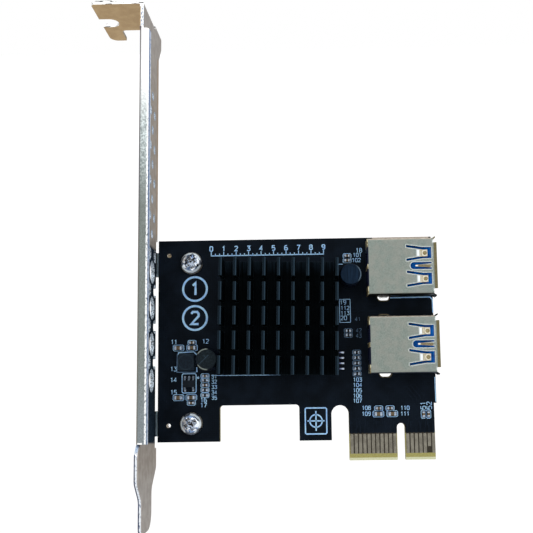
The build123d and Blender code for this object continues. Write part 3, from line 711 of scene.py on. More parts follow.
@dataclass(frozen=True)
class BlackAnodised(Finish):
    """Matt black fins with tips painted lighter as light falling on them and edges painted pale as
    highlights; the phase is in fin pitches and centres the tips.
    """

    specular: float = 0.02
    tip_level: float = -11.3
    fin_pitch: float = 3.31
    turn: float = 1.2
    centre: tuple = (-28.0, 33.24)
    phase: float = 10.5

    def surface(self, g: Graph) -> Surface:
        """Black streaked coat, fin tips painted slate as light with a lit right half, arrises painted pale
        as highlights.

        Args:
            g: Graph of the material.

        Returns:
            Colour, roughness, relief and share of metal.
        """
        grain = g.grain(0.4, 9.0)[1]
        streaks = g.lines((3.2, 0.6, 0.08))
        upper = g.zone((-50, -8, 43.4), (-5, 0, 60), 1.6)
        colour = g.mix(streaks, (0, 4, 7), g.mix(upper, (6, 13, 17), (22, 33, 42)))
        # Painted light: the fin tips that face the front are painted slate, lighter on their lit right
        # half.
        tips = g.both(g.facing((0, -1, 0)), g.zone((-50, -12, 10), (-5, self.tip_level, 60), 0.1))
        lit_tip_tone = g.mix(self.lit_half(g), (17, 27, 35), (44, 62, 76))
        colour = g.mix(tips, colour, g.mix(g.both(grain, 0.35), lit_tip_tone, (32, 46, 56)))
        # Painted highlight along the arrises.
        colour = g.mix(g.edges(0.1, 0.3), colour, (90, 108, 120))
        return Surface(colour, g.span(0.45, 0.62, grain), grain)

    def lit_half(self, g: Graph) -> Socket:
        """Return a mask of each tip's right half, by the share of the fin pitch along the turned cooler.

        Args:
            g: Graph of the material.

        Returns:
            The mask.
        """
        angle = np.radians(self.turn)
        along = np.array((np.cos(angle), 0.0, -np.sin(angle))) / self.fin_pitch
        start = float(along @ np.array((self.centre[0], 0.0, self.centre[1])))
        run = g.vector("DOT_PRODUCT", g.place, tuple(along.tolist())).outputs["Value"]
        share = g.math("FRACT", g.math("ADD", run, self.phase - start))
        return g.step(share, 0.5, 0.56)


@dataclass(frozen=True)
class PortShell(Finish):
    """Satin nickel of a port shell: grained top, arrises painted bright as highlights, warm lips and spring
    ends painted with light and shade.
    """

    metallic: float = 0.85
    centre: float = PORT_CENTRES[0]
    top: float = -7.5
    spring_offset: float = 3.0
    rear: float = -7.35
    window: tuple = (0.5, 4.6)
    side_dark: tuple = (26, 24, 20)
    side_light: tuple = (104, 92, 66)
    dark_lips: tuple = (-1,)

    def surface(self, g: Graph) -> Surface:
        """Satin sheet, warm lip, springs and middle leaf, arrises painted bright as highlights, sides
        painted dark as shade and legs painted white as the lit background seen through their slots.

        Args:
            g: Graph of the material.

        Returns:
            Colour, roughness, relief and share of metal.
        """
        patches, grain = g.grain(0.55, 5.5)
        dashes = g.lines((1.2, 2.0, 1.2))
        colour = g.mix(grain, (116, 127, 121), (146, 155, 148))
        colour = g.mix(g.both(patches, 0.4), colour, (154, 152, 144))
        near_mouth = self.box(g, (2.5, -9, -7), (12, self.top + 0.6, 7), 3.0)
        colour = g.mix(g.both(near_mouth, 0.45), colour, (146, 158, 166))
        # Painted highlight: wide light borders along the slits.
        colour = g.mix(self.halo(g), colour, (224, 238, 236))
        for side in (-1, 1):
            colour = self.spring(g, grain, colour, side * self.spring_offset)
        leaf = g.mix(grain, (112, 102, 78), (146, 134, 104))
        colour = self.lay(g, colour, (3.4, -9, -0.52), (7.2, self.top + 0.5, 0.3), 0.08, leaf)
        # Painted highlight on the tip of the middle leaf.
        leaf_tip_highlight = (244, 240, 226)
        colour = self.lay(g, colour, (3.4, -9, -0.6), (4.4, self.top + 0.5, 0.6), 0.3, leaf_tip_highlight)
        # Painted highlight along the arrises.
        arris = g.mix(dashes, (204, 208, 204), (182, 176, 160))
        colour = g.mix(g.edges(0.14, 0.7), colour, arris)
        colour = self.outer_faces(g, colour, dashes)
        return Surface(self.lips(g, grain, colour), g.span(0.34, 0.5, grain), grain)

    def box(self, g: Graph, low: tuple, high: tuple, soft: float) -> Socket:
        """Return a mask of a box whose Z counts from the port's centre."""
        low, high = ((x, y, self.centre + z) for x, y, z in (low, high))
        return g.zone(low, high, soft)

    def lay(self, g: Graph, under: Value, low: tuple, high: tuple, soft: float, over: Value) -> Socket:
        """Return a colour with another one laid over it inside a box about the port's centre."""
        return g.mix(self.box(g, low, high, soft), under, over)

    def halo(self, g: Graph) -> Socket:
        """Return a mask of the wide borders of the slits that are painted light as highlights, without the
        roots of the springs.

        Args:
            g: Graph of the material.

        Returns:
            The mask.
        """
        halo = g.both(self.box(g, (1, -9, -6), (7.9, self.top + 0.2, 6), 0.1), g.edges(0.5))
        for side in (-1, 1):
            middle = side * self.spring_offset
            low, high = (0, -9, middle - 1.2), (2.1, self.top + 0.4, middle + 1.2)
            halo = g.both(halo, g.math("SUBTRACT", 1.0, self.box(g, low, high, 0.12)))
        return halo

    def outer_faces(self, g: Graph, colour: Value, dashes: Value) -> Socket:
        """Add the lower side painted dark as shade, the rear bend painted brown as shade with its windows
        painted dark as shade, the upper arris painted bright as a highlight and the leg painted white as
        the lit background seen through its slot.

        Args:
            g: Graph of the material.
            colour: Colour so far.
            dashes: Short dashes from 0 to 1.

        Returns:
            The colour with these added.
        """
        line = self.box(g, (-8, -2.4, -7), (8, -1.3, -6), 0.2)
        side_tone = g.mix(g.both(line, g.step(dashes, 0.2, 0.5)), self.side_dark, self.side_light)
        # Painted shade: the downward-facing side is painted dark, with brown dashes along its lower edge.
        colour = g.mix(g.facing((0, 0, -1), 0.5, 0.8), colour, side_tone)
        # Painted shade: the rounded rear bend is painted as a brown band with pale dashes.
        rear_bend_shade = g.mix(g.step(dashes, 0.35, 0.6), (196, 188, 152), (120, 106, 74))
        back, inside = self.rear - 0.2, self.rear + 0.34
        colour = self.lay(g, colour, (back, -8, -6.7), (self.rear + 0.22, 0, 6.7), 0.05, rear_bend_shade)
        # Painted shade: the rear windows are painted dark navy, as the shaded inside seen through them.
        for side in (-1, 1):
            low, high = sorted(side * edge for edge in self.window)
            colour = self.lay(g, colour, (back, -8, low), (inside, -2.2, high), 0.08, (8, 14, 38))
        # Painted highlight along the upper arris.
        pale = g.mix(dashes, (206, 198, 184), (176, 164, 148))
        colour = self.lay(g, colour, (-7.0, -8, 6.2), (7.6, -6.9, 6.7), 0.05, pale)
        # Painted light: the leg is painted white, as the lit background seen through its slot.
        return self.lay(g, colour, (-5.2, -0.95, -6.8), (-1.3, 4, -5.9), 0.1, (244, 246, 246))

    def lips(self, g: Graph, grain: Value, colour: Value) -> Socket:
        """Add the flared lips: warm long ones and short ones painted dark as shade.

        Args:
            g: Graph of the material.
            grain: Fine grain from 0 to 1.
            colour: Colour so far.

        Returns:
            The colour with the lips added.
        """
        warm = g.mix(grain, (98, 91, 64), (132, 124, 92))
        colour = self.lay(g, colour, (7.95, -12, -9), (12, 4, 9), 0.08, warm)
        # Painted shade on the short lips, seen from their inner side.
        for side in self.dark_lips:
            low, high = sorted((side * 6.1, side * 9))
            colour = self.lay(g, colour, (7.8, -7.4, low), (12, 4, high), 0.08, (20, 19, 16))
        return colour

    def spring(self, g: Graph, grain: Value, colour: Value, middle: float) -> Socket:
        """Add one spring: neck painted white as a highlight, pale end, and a dimple painted darker as shade
        inside a ring painted light as a highlight.

        Args:
            g: Graph of the material.
            grain: Fine grain from 0 to 1.
            colour: Colour so far.
            middle: Z of its middle from the port's centre.

        Returns:
            The colour with the spring added.
        """
        low, high, top = middle - 0.95, middle + 0.95, self.top + 1.3
        # Painted highlight on the spring's neck.
        colour = self.lay(g, colour, (3.9, -9, low), (5.0, top, high), 0.35, (238, 244, 246))
        end = self.box(g, (4.7, -9, low), (6.9, top, high), 0.12)
        colour = g.mix(end, colour, g.mix(grain, (176, 168, 142), (222, 216, 196)))
        reach = g.reach(6.0, self.centre + middle)
        # Painted highlight ringing the dimple.
        around = g.both(end, g.band(reach, 0.5, 0.66, 0.08))
        colour = g.mix(around, colour, (236, 232, 214))
        # Painted shade in the dimple.
        dimple = g.both(end, g.step(reach, 0.54, 0.44))
        colour = g.mix(dimple, colour, g.mix(grain, (118, 106, 72), (168, 156, 122)))
        low, high = middle - 0.7, middle + 0.7
        for start in (4.78, 5.16):
            colour = self.lay(g, colour, (start, -9, low), (start + 0.14, top, high), 0.06, (142, 130, 102))
        return colour


@dataclass(frozen=True)
class Moulded(Finish):
    """Moulded plastic, rubber or fired body: two close tones, fine grain and edges painted lighter as
    highlights.
    """

    dark: tuple = (16, 17, 19)
    light: tuple = (30, 31, 34)
    edge: tuple = (64, 66, 70)
    edge_share: float = 0.35
    grains: float = 10.0
    rough: tuple = (0.45, 0.6)

    def surface(self, g: Graph) -> Surface:
        """Two tones by patches with a grain relief.

        Args:
            g: Graph of the material.

        Returns:
            Colour, roughness, relief and share of metal.
        """
        patches, grain = g.grain(0.7, self.grains)
        colour = g.mix(patches, self.dark, self.light)
        # Painted highlight along the edges.
        colour = g.mix(g.edges(0.08, self.edge_share), colour, self.edge)
        return Surface(colour, g.span(*self.rough, grain), grain)


@dataclass(frozen=True)
class PortPlastic(Moulded):
    """Blue plastic of a port, with its back end painted almost navy as shade."""

    dark: tuple = (0, 76, 160)
    light: tuple = (0, 108, 206)
    edge: tuple = (60, 130, 210)
    back: tuple = (8, 14, 40)
    rough: tuple = (0.35, 0.5)

    def surface(self, g: Graph) -> Surface:
        """The moulded surface with its back end painted dark as shade.

        Args:
            g: Graph of the material.

        Returns:
            Colour, roughness, relief and share of metal.
        """
        look = super().surface(g)
        # Painted shade at the back end.
        look.colour = g.patch(look.colour, (-9, -9, 0), (-5, 3, 60), 0.5, self.back)
        return look


@dataclass(frozen=True)
class Sleeve(Finish):
    """Shrunk sleeve of the cans: navy side, slate or grey top and light arcs on the lit shoulders."""

    specular: float = 0.03
    top_level: float = -7.9

    def surface(self, g: Graph) -> Surface:
        """Navy film, a streaked slate top above and a mottled grey one below, each with its own lit arc.

        Args:
            g: Graph of the material.

        Returns:
            Colour, roughness, relief and share of metal.
        """
        upper, lower = CAN_CENTRES
        patches, grain = g.grain(0.6, 5.0)
        streaks = g.lines((3.0, 1.0, 0.2))
        lower_can = g.zone((-60, -9, 0), (-30, 3, 60), 0.1)
        side = g.mix(patches, (10, 14, 24), (18, 25, 38))
        top = g.both(g.facing((0, -1, 0)), g.zone((-60, -9, 0), (10, self.top_level, 60), 0.05))
        slate = g.mix(streaks, (17, 31, 47), (26, 44, 64))
        grey = g.mix(grain, (19, 26, 31), (36, 46, 52))
        colour = g.mix(top, side, g.mix(lower_can, slate, grey))
        lit = g.both(g.facing((0.9, -0.42, 0.1), 0.6, 0.85), self.shoulder(g, upper))
        colour = g.mix(g.both(lit, 0.9), colour, (112, 134, 152))
        away = g.math("ABSOLUTE", g.math("SUBTRACT", g.height, lower[1]))
        left = g.zone((-60, -9, 0), (lower[0] + 0.4, 3, 60), 0.5)
        arcs = g.both(self.shoulder(g, lower), left, g.step(away, 1.0, 1.5))
        return Surface(g.mix(arcs, colour, (142, 152, 146)), g.span(0.35, 0.5, grain), grain)

    def shoulder(self, g: Graph, centre: tuple) -> Socket:
        """Return a mask of the outer ring of one can's top."""
        ring = g.band(g.reach(*centre), 2.2, 2.6, 0.06)
        return g.both(ring, g.zone((-60, -9, 0), (10, -7.2, 60), 0.2))


@dataclass(frozen=True)
class LeadPlate(Finish):
    """Dull plated chip lead with a bright flat foot."""

    metallic: float = 0.7
    foot: tuple = (-13.75, 60.0)
    root: tuple = (92, 92, 128)
    bright: tuple = (214, 228, 250)

    def surface(self, g: Graph) -> Surface:
        """Dull lead, bright where the foot lies within its span of X.

        Args:
            g: Graph of the material.

        Returns:
            Colour, roughness, relief and share of metal.
        """
        patches, grain = g.grain(1.4, 6.0)
        low, high = self.foot
        root = g.mix(patches, self.root, tuple(level * 0.6 for level in self.root))
        colour = g.patch(root, (low, -3, 0), (high, 0, 60), 0.15, self.bright)
        return Surface(colour, g.span(0.28, 0.42, grain), grain)


@dataclass(frozen=True)
class DrumCore(Finish):
    """Pressed iron body of the inductor, with the outline of its round core showing on top."""

    specular: float = 0.08
    centre: tuple = (-50.1, 23.3)
    core_radius: float = 1.72

    def surface(self, g: Graph) -> Surface:
        """Dark slate body, a slightly lighter ring and edges painted lighter as highlights.

        Args:
            g: Graph of the material.

        Returns:
            Colour, roughness, relief and share of metal.
        """
        grain = g.grain(0.8, 4.0)[1]
        colour = g.mix(grain, (18, 28, 38), (32, 44, 56))
        ring = g.band(g.reach(*self.centre), self.core_radius - 0.06, self.core_radius + 0.06, 0.14)
        colour = g.mix(g.both(ring, 0.5), colour, (58, 76, 86))
        # Painted highlight along the edges.
        colour = g.mix(g.edges(0.12, 0.5), colour, (84, 102, 112))
        return Surface(colour, g.span(0.5, 0.7, grain), grain)


# The edge colours of these finishes are painted highlights along the edges.
MASK = SolderMask("solder_mask", relief=0.006)
INK = PrintInk("screen_print", relief=0.004)
# Painted shade: a darker copy of the print ink, for the print that lies in shade between the cooler and the
# ports and beside the inductor.
SHADED_INK = PrintInk("shaded_print", light=(100, 132, 164), thin=(60, 84, 112), relief=0.004)
TRACK = Moulded("covered_track", dark=(16, 23, 32), light=(21, 30, 41), edge=(27, 37, 50),
                specular=0.03, relief=0.002)
RIM = PlatedMetal("slot_rim", bright=(96, 88, 70), dull=(62, 56, 44), edge=(120, 112, 90),
                  patches=1.6, rough=(0.3, 0.5))
GOLD = PlatedMetal("contact_gold", bright=(140, 136, 124), dull=(108, 104, 94),
                   edge=(168, 164, 150), lines=(9, 9, 0.8))
SOLDER = PlatedMetal("solder", bright=(200, 216, 236), dull=(104, 120, 144), metallic=0.6,
                     patches=1.6, lines=(2, 2, 2), rough=(0.2, 0.4))
TIN = PlatedMetal("tin_plate", bright=(196, 214, 234), dull=(116, 136, 162), metallic=0.7,
                  patches=1.8, rough=(0.22, 0.4))
MEMORY_LEAD = LeadPlate("memory_lead", metallic=0.4, root=(132, 146, 196), relief=0.004)
REGULATOR_LEAD = LeadPlate("regulator_lead", foot=(-60.0, -58.0), root=(118, 132, 148), relief=0.004)
BRACKET = BracketPlate("bracket_plate")
SCREW = ScrewNickel("screw_nickel")
FINS = BlackAnodised("black_anodised", relief=0.008)
UPPER_SHELL = PortShell("upper_port_nickel")
LOWER_SHELL = PortShell("lower_port_nickel", centre=PORT_CENTRES[1], side_dark=(38, 46, 60),
                        side_light=(88, 98, 112), dark_lips=(-1, 1))
PORT_BLUE = PortPlastic("port_blue", specular=0.08)
PORT_GOLD = PlatedMetal("port_contact_gold", bright=(214, 178, 104), dull=(168, 134, 72),
                        edge=(238, 214, 150))
PACKAGE = Moulded("chip_package", dark=(9, 16, 23), light=(19, 28, 38), edge=(48, 58, 68), specular=0.12)
CORE = DrumCore("power_core")
CERAMIC = Moulded("ceramic_body", dark=(84, 70, 50), light=(112, 94, 70), edge=(134, 118, 98))
RESISTOR = Moulded("resistor_body", dark=(8, 9, 12), light=(20, 22, 27), edge=(90, 96, 104),
                   edge_share=0.3)
CAN = Sleeve("can_sleeve")
SCORE = Moulded("can_score", dark=(44, 62, 78), light=(62, 82, 98), edge=(78, 100, 116),
                specular=0.1, relief=0.002)
BUNG = Moulded("bung_rubber", dark=(14, 14, 14), light=(26, 25, 24), rough=(0.7, 0.85))
SILICONE = Moulded("gap_pad", dark=(136, 146, 160), light=(156, 166, 178), edge=(176, 184, 194),
                   rough=(0.75, 0.9))


def link(name: str, data: bpy.types.ID) -> Piece:
    """Make an object at the origin from its data and link it to the scene.

    Args:
        name: Name of the object.
        data: Mesh, light or camera data.

    Returns:
        The new object.
    """
    made = bpy.data.objects.new(name, data)
    bpy.context.scene.collection.objects.link(made)
    return made


def stack(parts: Iterable[tuple[Points, list]]) -> tuple[Points, list]:
    """Join several point and face lists into one.

    Args:
        parts: Pairs of points and faces, the faces counted from each list's own start.

    Returns:
        All points in one array and all faces with their indices moved on.
    """
    points, faces, start = [], [], 0
    for some, polygons in parts:
        points.append(some)
        faces += [[index + start for index in polygon] for polygon in polygons]
        start += len(some)
    return np.concatenate(points), faces


def add_piece(name: str, points: Points, faces: list, finish: Finish,
              closed: bool = True) -> Piece:
    """Store a mesh as a piece of the card that rides on its body.

    Args:
        name: Name of the new object.
        points: Points in millimetres, three columns.
        faces: Corner indices of each face.
        finish: Finish that it gets.
        closed: Whether it is made of closed lumps, whose normals are then set outwards.

    Returns:
        The new object at the origin.
    """
    mesh = bpy.data.meshes.new(name)
    mesh.from_pydata((points * MM).tolist(), [], faces)
    if closed:
        shape = bmesh.new()
        shape.from_mesh(mesh)
        bmesh.ops.recalc_face_normals(shape, faces=shape.faces)
        shape.to_mesh(mesh)
        shape.free()
        mesh.polygons.foreach_set("use_smooth", np.ones(len(mesh.polygons), dtype=bool))
    mesh.update()
    mesh.materials.append(finish.material())
    piece = link(name, mesh)
    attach(piece, "root")
    return piece


def ring_faces(rows: int, around: int, copies: int, closed: bool = False) -> Points:
    """Squares between neighbouring rings of points, for each copy of a shape.

    Args:
        rows: Number of rings in one copy.
        around: Number of points in a ring.
        copies: Number of copies, whose points follow one another.
        closed: Whether the last ring joins the first.

    Returns:
        Four point indices for each face.
    """
    row, column = np.meshgrid(np.arange(rows if closed else rows - 1), np.arange(around), indexing="ij")
    above, below = row * around, (row + 1) % rows * around
    beside = (column + 1) % around
    quads = np.stack([above + column, above + beside, below + beside, below + column], axis=-1)
    starts = np.arange(copies) * rows * around
    return (quads.reshape(-1, 4) + starts[:, None, None]).reshape(-1, 4)


def turned_rings(centres: Points, profile: Points, level: float, side: Side,
                 around: int = 20) -> tuple[Points, list]:
    """Turned rings about axes along Y, one at each centre.

    The first parameter runs along a closed profile of radius r and height h and the second is
    the angle a: x = centre x + r cos a, z = centre z + r sin a, y = level + side times h.

    Args:
        centres: X and Z of each axis.
        profile: Closed loop of radius and height pairs.
        level: Y of the foot.
        side: Side of the board that the height grows towards.
        around: Number of angles.

    Returns:
        Points and faces of all the rings.
    """
    angle = np.linspace(0.0, 2.0 * np.pi, around, endpoint=False)
    radius, height = profile.T
    x = centres[:, 0, None, None] + radius[None, :, None] * np.cos(angle)
    z = centres[:, 1, None, None] + radius[None, :, None] * np.sin(angle)
    y = level + side.value * height[None, :, None]
    points = np.stack(np.broadcast_arrays(x, y, z), axis=-1).reshape(-1, 3)
    return points, ring_faces(len(profile), around, len(centres), closed=True).tolist()


def solder_lumps(name: str, centres: Points, halves: Points, heights: Points | float, lean: Points,
                 side: Side) -> Piece:
    """Rounded lumps of solder with a flat foot, taller on the side that they lean to.

    With ring share s and angle a: x = centre x + half width times s times the signed square
    root of cos a, z likewise with sin a, and the height is h (1 - s cubed) times one plus the
    lean along the ring's own place.

    Args:
        name: Name of the piece.
        centres: X and Z of each lump.
        halves: Half width and half depth of each lump.
        heights: Height of each lump, or of all.
        lean: Direction in X and Z that each lump rises towards, times the amount.
        side: Side of the board that the lumps stand on.

    Returns:
        One piece with all the lumps.
    """
    around, rings = 16, 5
    count = len(centres)
    angle = np.linspace(0.0, 2.0 * np.pi, around, endpoint=False)
    share = np.linspace(0.15, 1.0, rings)[:, None]
    across = share * np.sign(np.cos(angle)) * np.sqrt(np.abs(np.cos(angle)))
    along = share * np.sign(np.sin(angle)) * np.sqrt(np.abs(np.sin(angle)))
    x = centres[:, 0, None, None] + halves[:, 0, None, None] * across
    z = centres[:, 1, None, None] + halves[:, 1, None, None] * along
    tilt = 1.0 + lean[:, 0, None, None] * across + lean[:, 1, None, None] * along
    height = np.broadcast_to(heights, count)[:, None, None]
    y = side.face + side.value * height * (1.0 - share ** 3) * tilt
    points = np.stack([x, y, z], axis=-1).reshape(-1, 3)
    caps = np.arange(count * rings * around).reshape(count, rings, around)[:, (0, rings - 1)]
    faces = ring_faces(rings, around, count).tolist() + caps.reshape(-1, around).tolist()
    return add_piece(name, points, faces, SOLDER)


def ribbon(line: Points, width: float, closed: bool = False) -> tuple[Points, list]:
    """Flat band that follows a line in X and Z, with mitred bends.

    Each point moves sideways by half the width along the mean of the normals of its two
    runs, divided by the cosine of half the bend and held to twice the width.

    Args:
        line: X and Z of the points that it follows.
        width: Width of the band.
        closed: Whether the last point joins the first.

    Returns:
        Points in X and Z and faces that look towards the component side.
    """
    after = np.roll(line, -1, axis=0) - line
    before = line - np.roll(line, 1, axis=0)
    if not closed:
        after[-1], before[0] = before[-1], after[0]
    after /= np.linalg.norm(after, axis=1, keepdims=True)
    before /= np.linalg.norm(before, axis=1, keepdims=True)
    normal = np.stack([-(after + before)[:, 1], (after + before)[:, 0]], axis=1)
    normal /= np.maximum(np.linalg.norm(normal, axis=1, keepdims=True), 1e-6)
    bend = np.maximum(normal[:, 1] * after[:, 0] - normal[:, 0] * after[:, 1], 0.5)[:, None]
    offset = normal * width / 2.0 / bend
    count = len(line)
    index = np.arange(count if closed else count - 1)
    following = (index + 1) % count
    quads = np.stack([index + count, following + count, following, index], axis=1)
    return np.concatenate([line + offset, line - offset]), quads.tolist()


STROKES = {
    "0": [(0.1, 0), (0.5, 0), (0.6, 0.15), (0.6, 0.85), (0.5, 1), (0.1, 1), (0, 0.85), (0, 0.15), (0.1, 0)],
    "1": [(0.12, 0.78), (0.34, 1), (0.34, 0)],
    "2": [(0, 0.85), (0.12, 1), (0.48, 1), (0.6, 0.85), (0.6, 0.65), (0, 0), (0.6, 0)],
    "3": [(0, 1), (0.6, 1), (0.3, 0.58), (0.5, 0.56), (0.6, 0.42), (0.6, 0.14), (0.48, 0), (0.1, 0),
          (0, 0.14)],
    "4": [(0.45, 0), (0.45, 1), (0, 0.3), (0.62, 0.3)],
    "5": [(0.58, 1), (0.06, 1), (0, 0.55), (0.44, 0.6), (0.6, 0.44), (0.6, 0.14), (0.48, 0), (0, 0)],
    "6": [(0.5, 1), (0.16, 0.94), (0, 0.7), (0, 0.14), (0.12, 0), (0.48, 0), (0.6, 0.14), (0.6, 0.4),
          (0.48, 0.54), (0.04, 0.5)],
    "7": [(0, 1), (0.6, 1), (0.2, 0)],
    "8": [(0.12, 0.54), (0.02, 0.7), (0.02, 0.86), (0.14, 1), (0.46, 1), (0.58, 0.86), (0.58, 0.7),
          (0.48, 0.54), (0.12, 0.54), (0, 0.4), (0, 0.14), (0.12, 0), (0.48, 0), (0.6, 0.14), (0.6, 0.4),
          (0.48, 0.54)],
    "9": [(0.1, 0), (0.44, 0.06), (0.6, 0.3), (0.6, 0.86), (0.48, 1), (0.12, 1), (0, 0.86), (0, 0.6),
          (0.12, 0.46), (0.56, 0.5)],
}


@dataclass
class InkSheet:
    """Flat bands gathered into one thin printed or etched layer."""

    name: str
    finish: Finish
    level: float = Side.COMPONENT.face
    thickness: float = 0.02
    parts: list = field(default_factory=list)

    def line(self, points: Iterable, width: float, closed: bool = False) -> None:
        """Add one band along a list of X and Z points."""
        self.parts.append(ribbon(np.array(points, dtype=float), width, closed))

    def frame(self, x0: float, x1: float, z0: float, z1: float, width: float, corner: float = 0.25) -> None:
        """Add a rectangle with cut corners.

        Args:
            x0: Left side.
            x1: Right side.
            z0: Lower side.
            z1: Upper side.
            width: Width of the band.
            corner: Length cut off each corner.
        """
        corners = [(x0 + corner, z0), (x1 - corner, z0), (x1, z0 + corner), (x1, z1 - corner),
                   (x1 - corner, z1), (x0 + corner, z1), (x0, z1 - corner), (x0, z0 + corner)]
        self.line(corners, width, closed=True)

    def ring(self, x: float, z: float, radius: float, width: float) -> None:
        """Add a circle: x plus radius times cosine and z plus radius times sine of the angle.

        Args:
            x: Centre in X.
            z: Centre in Z.
            radius: Radius of the band's middle.
            width: Width of the band.
        """
        angle = np.linspace(0.0, 2.0 * np.pi, 48, endpoint=False)
        circle = np.stack([x + radius * np.cos(angle), z + radius * np.sin(angle)], axis=1)
        self.line(circle, width, closed=True)

    def number(self, centre: tuple, value: int, height: float, width: float, turned: bool = False) -> None:
        """Add a plain number about a centre.

        Args:
            centre: X and Z of its middle.
            value: The number.
            height: Height of the figures.
            width: Width of the strokes.
            turned: Whether the number reads upwards.
        """
        digits = str(value)
        pitch = 0.86 * height
        start = -(len(digits) - 1) * pitch / 2.0 - 0.3 * height
        for place, digit in enumerate(digits):
            flat = np.array(STROKES[digit]) * height + (start + place * pitch, -height / 2.0)
            if turned:
                flat = np.stack([-flat[:, 1], flat[:, 0]], axis=1)
            self.line(flat + centre, width)

    def build(self, slot: Slot) -> Piece:
        """Turn the gathered bands into one solid layer on the board.

        Args:
            slot: Not used.

        Returns:
            The new piece.
        """
        flat, faces = stack(self.parts)
        level = np.full(len(flat), self.level - self.thickness)
        points = np.stack([flat[:, 0], level, flat[:, 1]], axis=1)
        piece = add_piece(self.name, points, faces, self.finish, closed=False)
        layer = piece.modifiers.new("thickness", "SOLIDIFY")
        layer.thickness = (self.thickness - 0.002) * MM
        layer.offset = -1.0
        return piece


@dataclass
class SmallParts:
    """Places and sizes of the two-ended parts that the print and the solder follow."""

    large: tuple = ((-52.12, 26.7), (-48.91, 26.7), (-52.1, 15.03), (-49.06, 15.03), (-5.2, 10.63),
                    (-1.94, 10.63))
    small: tuple = ((-48.9, 27.93), (-49.06, 13.76), (-45.83, 20.02), (-45.83, 17.89), (-11.68, 48.13),
                    (-11.68, 47.04), (-5.1, 11.93), (-2.44, 11.93))
    upright: tuple = ((5.35, 10.43), (6.49, 10.43))
    resistors: tuple = ((-45.83, 19.03), (-45.83, 16.74), (-45.83, 15.5), (-11.78, 30.16), (-11.78, 29.16),
                        (-9.92, 25.05), (-9.92, 23.8), (-9.92, 22.53), (-9.92, 21.27), (-9.92, 20.01))
    large_half: tuple = (0.8, 0.4)
    small_half: tuple = (0.5, 0.25)
    heights: tuple = (0.5, 0.36, 0.28)
    frame_gap: tuple = (0.48, 0.3)
    stroke: float = 0.12
    # The print in this strip goes on the ink painted darker as shade.
    thin_strip: tuple = (-12.5, -8.0)
    thin_top: float = 40.0
    lump_half: float = 0.3
    lump_margin: float = 0.12
    lump_shift: float = 0.1
    lump_lean: float = 0.75

    def groups(self) -> list[tuple[tuple, tuple, bool, float]]:
        """Return the places, half sizes, turn and height of each group.

        Returns:
            One row for the large, small, upright and resistor parts each.
        """
        large, small, low = self.heights
        return [(self.large, self.large_half, False, large), (self.small, self.small_half, False, small),
                (self.upright, self.small_half, True, small), (self.resistors, self.small_half, False, low)]

    def frames(self, clear: InkSheet, thin: InkSheet) -> None:
        """Print a frame round every part; between the cooler and the ports the frames go on the layer
        painted darker as shade.

        Args:
            clear: Layer of clear ink.
            thin: Layer of ink painted darker as shade.
        """
        left, right = self.thin_strip
        for places, half_size, turned, _ in self.groups():
            reach, rise = np.add(half_size, self.frame_gap)[::-1 if turned else 1].tolist()
            for x, z in places:
                sheet = thin if left < x < right and z < self.thin_top else clear
                sheet.frame(x - reach, x + reach, z - rise, z + rise, self.stroke)

    def solder(self) -> Piece:
        """Build the solder at both ends of every part.

        Returns:
            One piece with a leaning lump for each end.
        """
        centres, halves, heights, lean = [], [], [], []
        for places, (half_length, half_width), turned, height in self.groups():
            for place in places:
                for end in (-1, 1):
                    offset = np.array([end * (half_length + self.lump_shift), 0.0])
                    half = np.array([self.lump_half, half_width + self.lump_margin])
                    rise = np.array([-self.lump_lean * end, 0.0])
                    if turned:
                        offset, half, rise = offset[::-1], half[::-1], rise[::-1]
                    centres.append(np.array(place) + offset)
                    halves.append(half)
                    heights.append(height)
                    lean.append(rise)
        return solder_lumps("small_part_solder", np.array(centres), np.array(halves),
                            np.array(heights), np.array(lean), Side.COMPONENT)


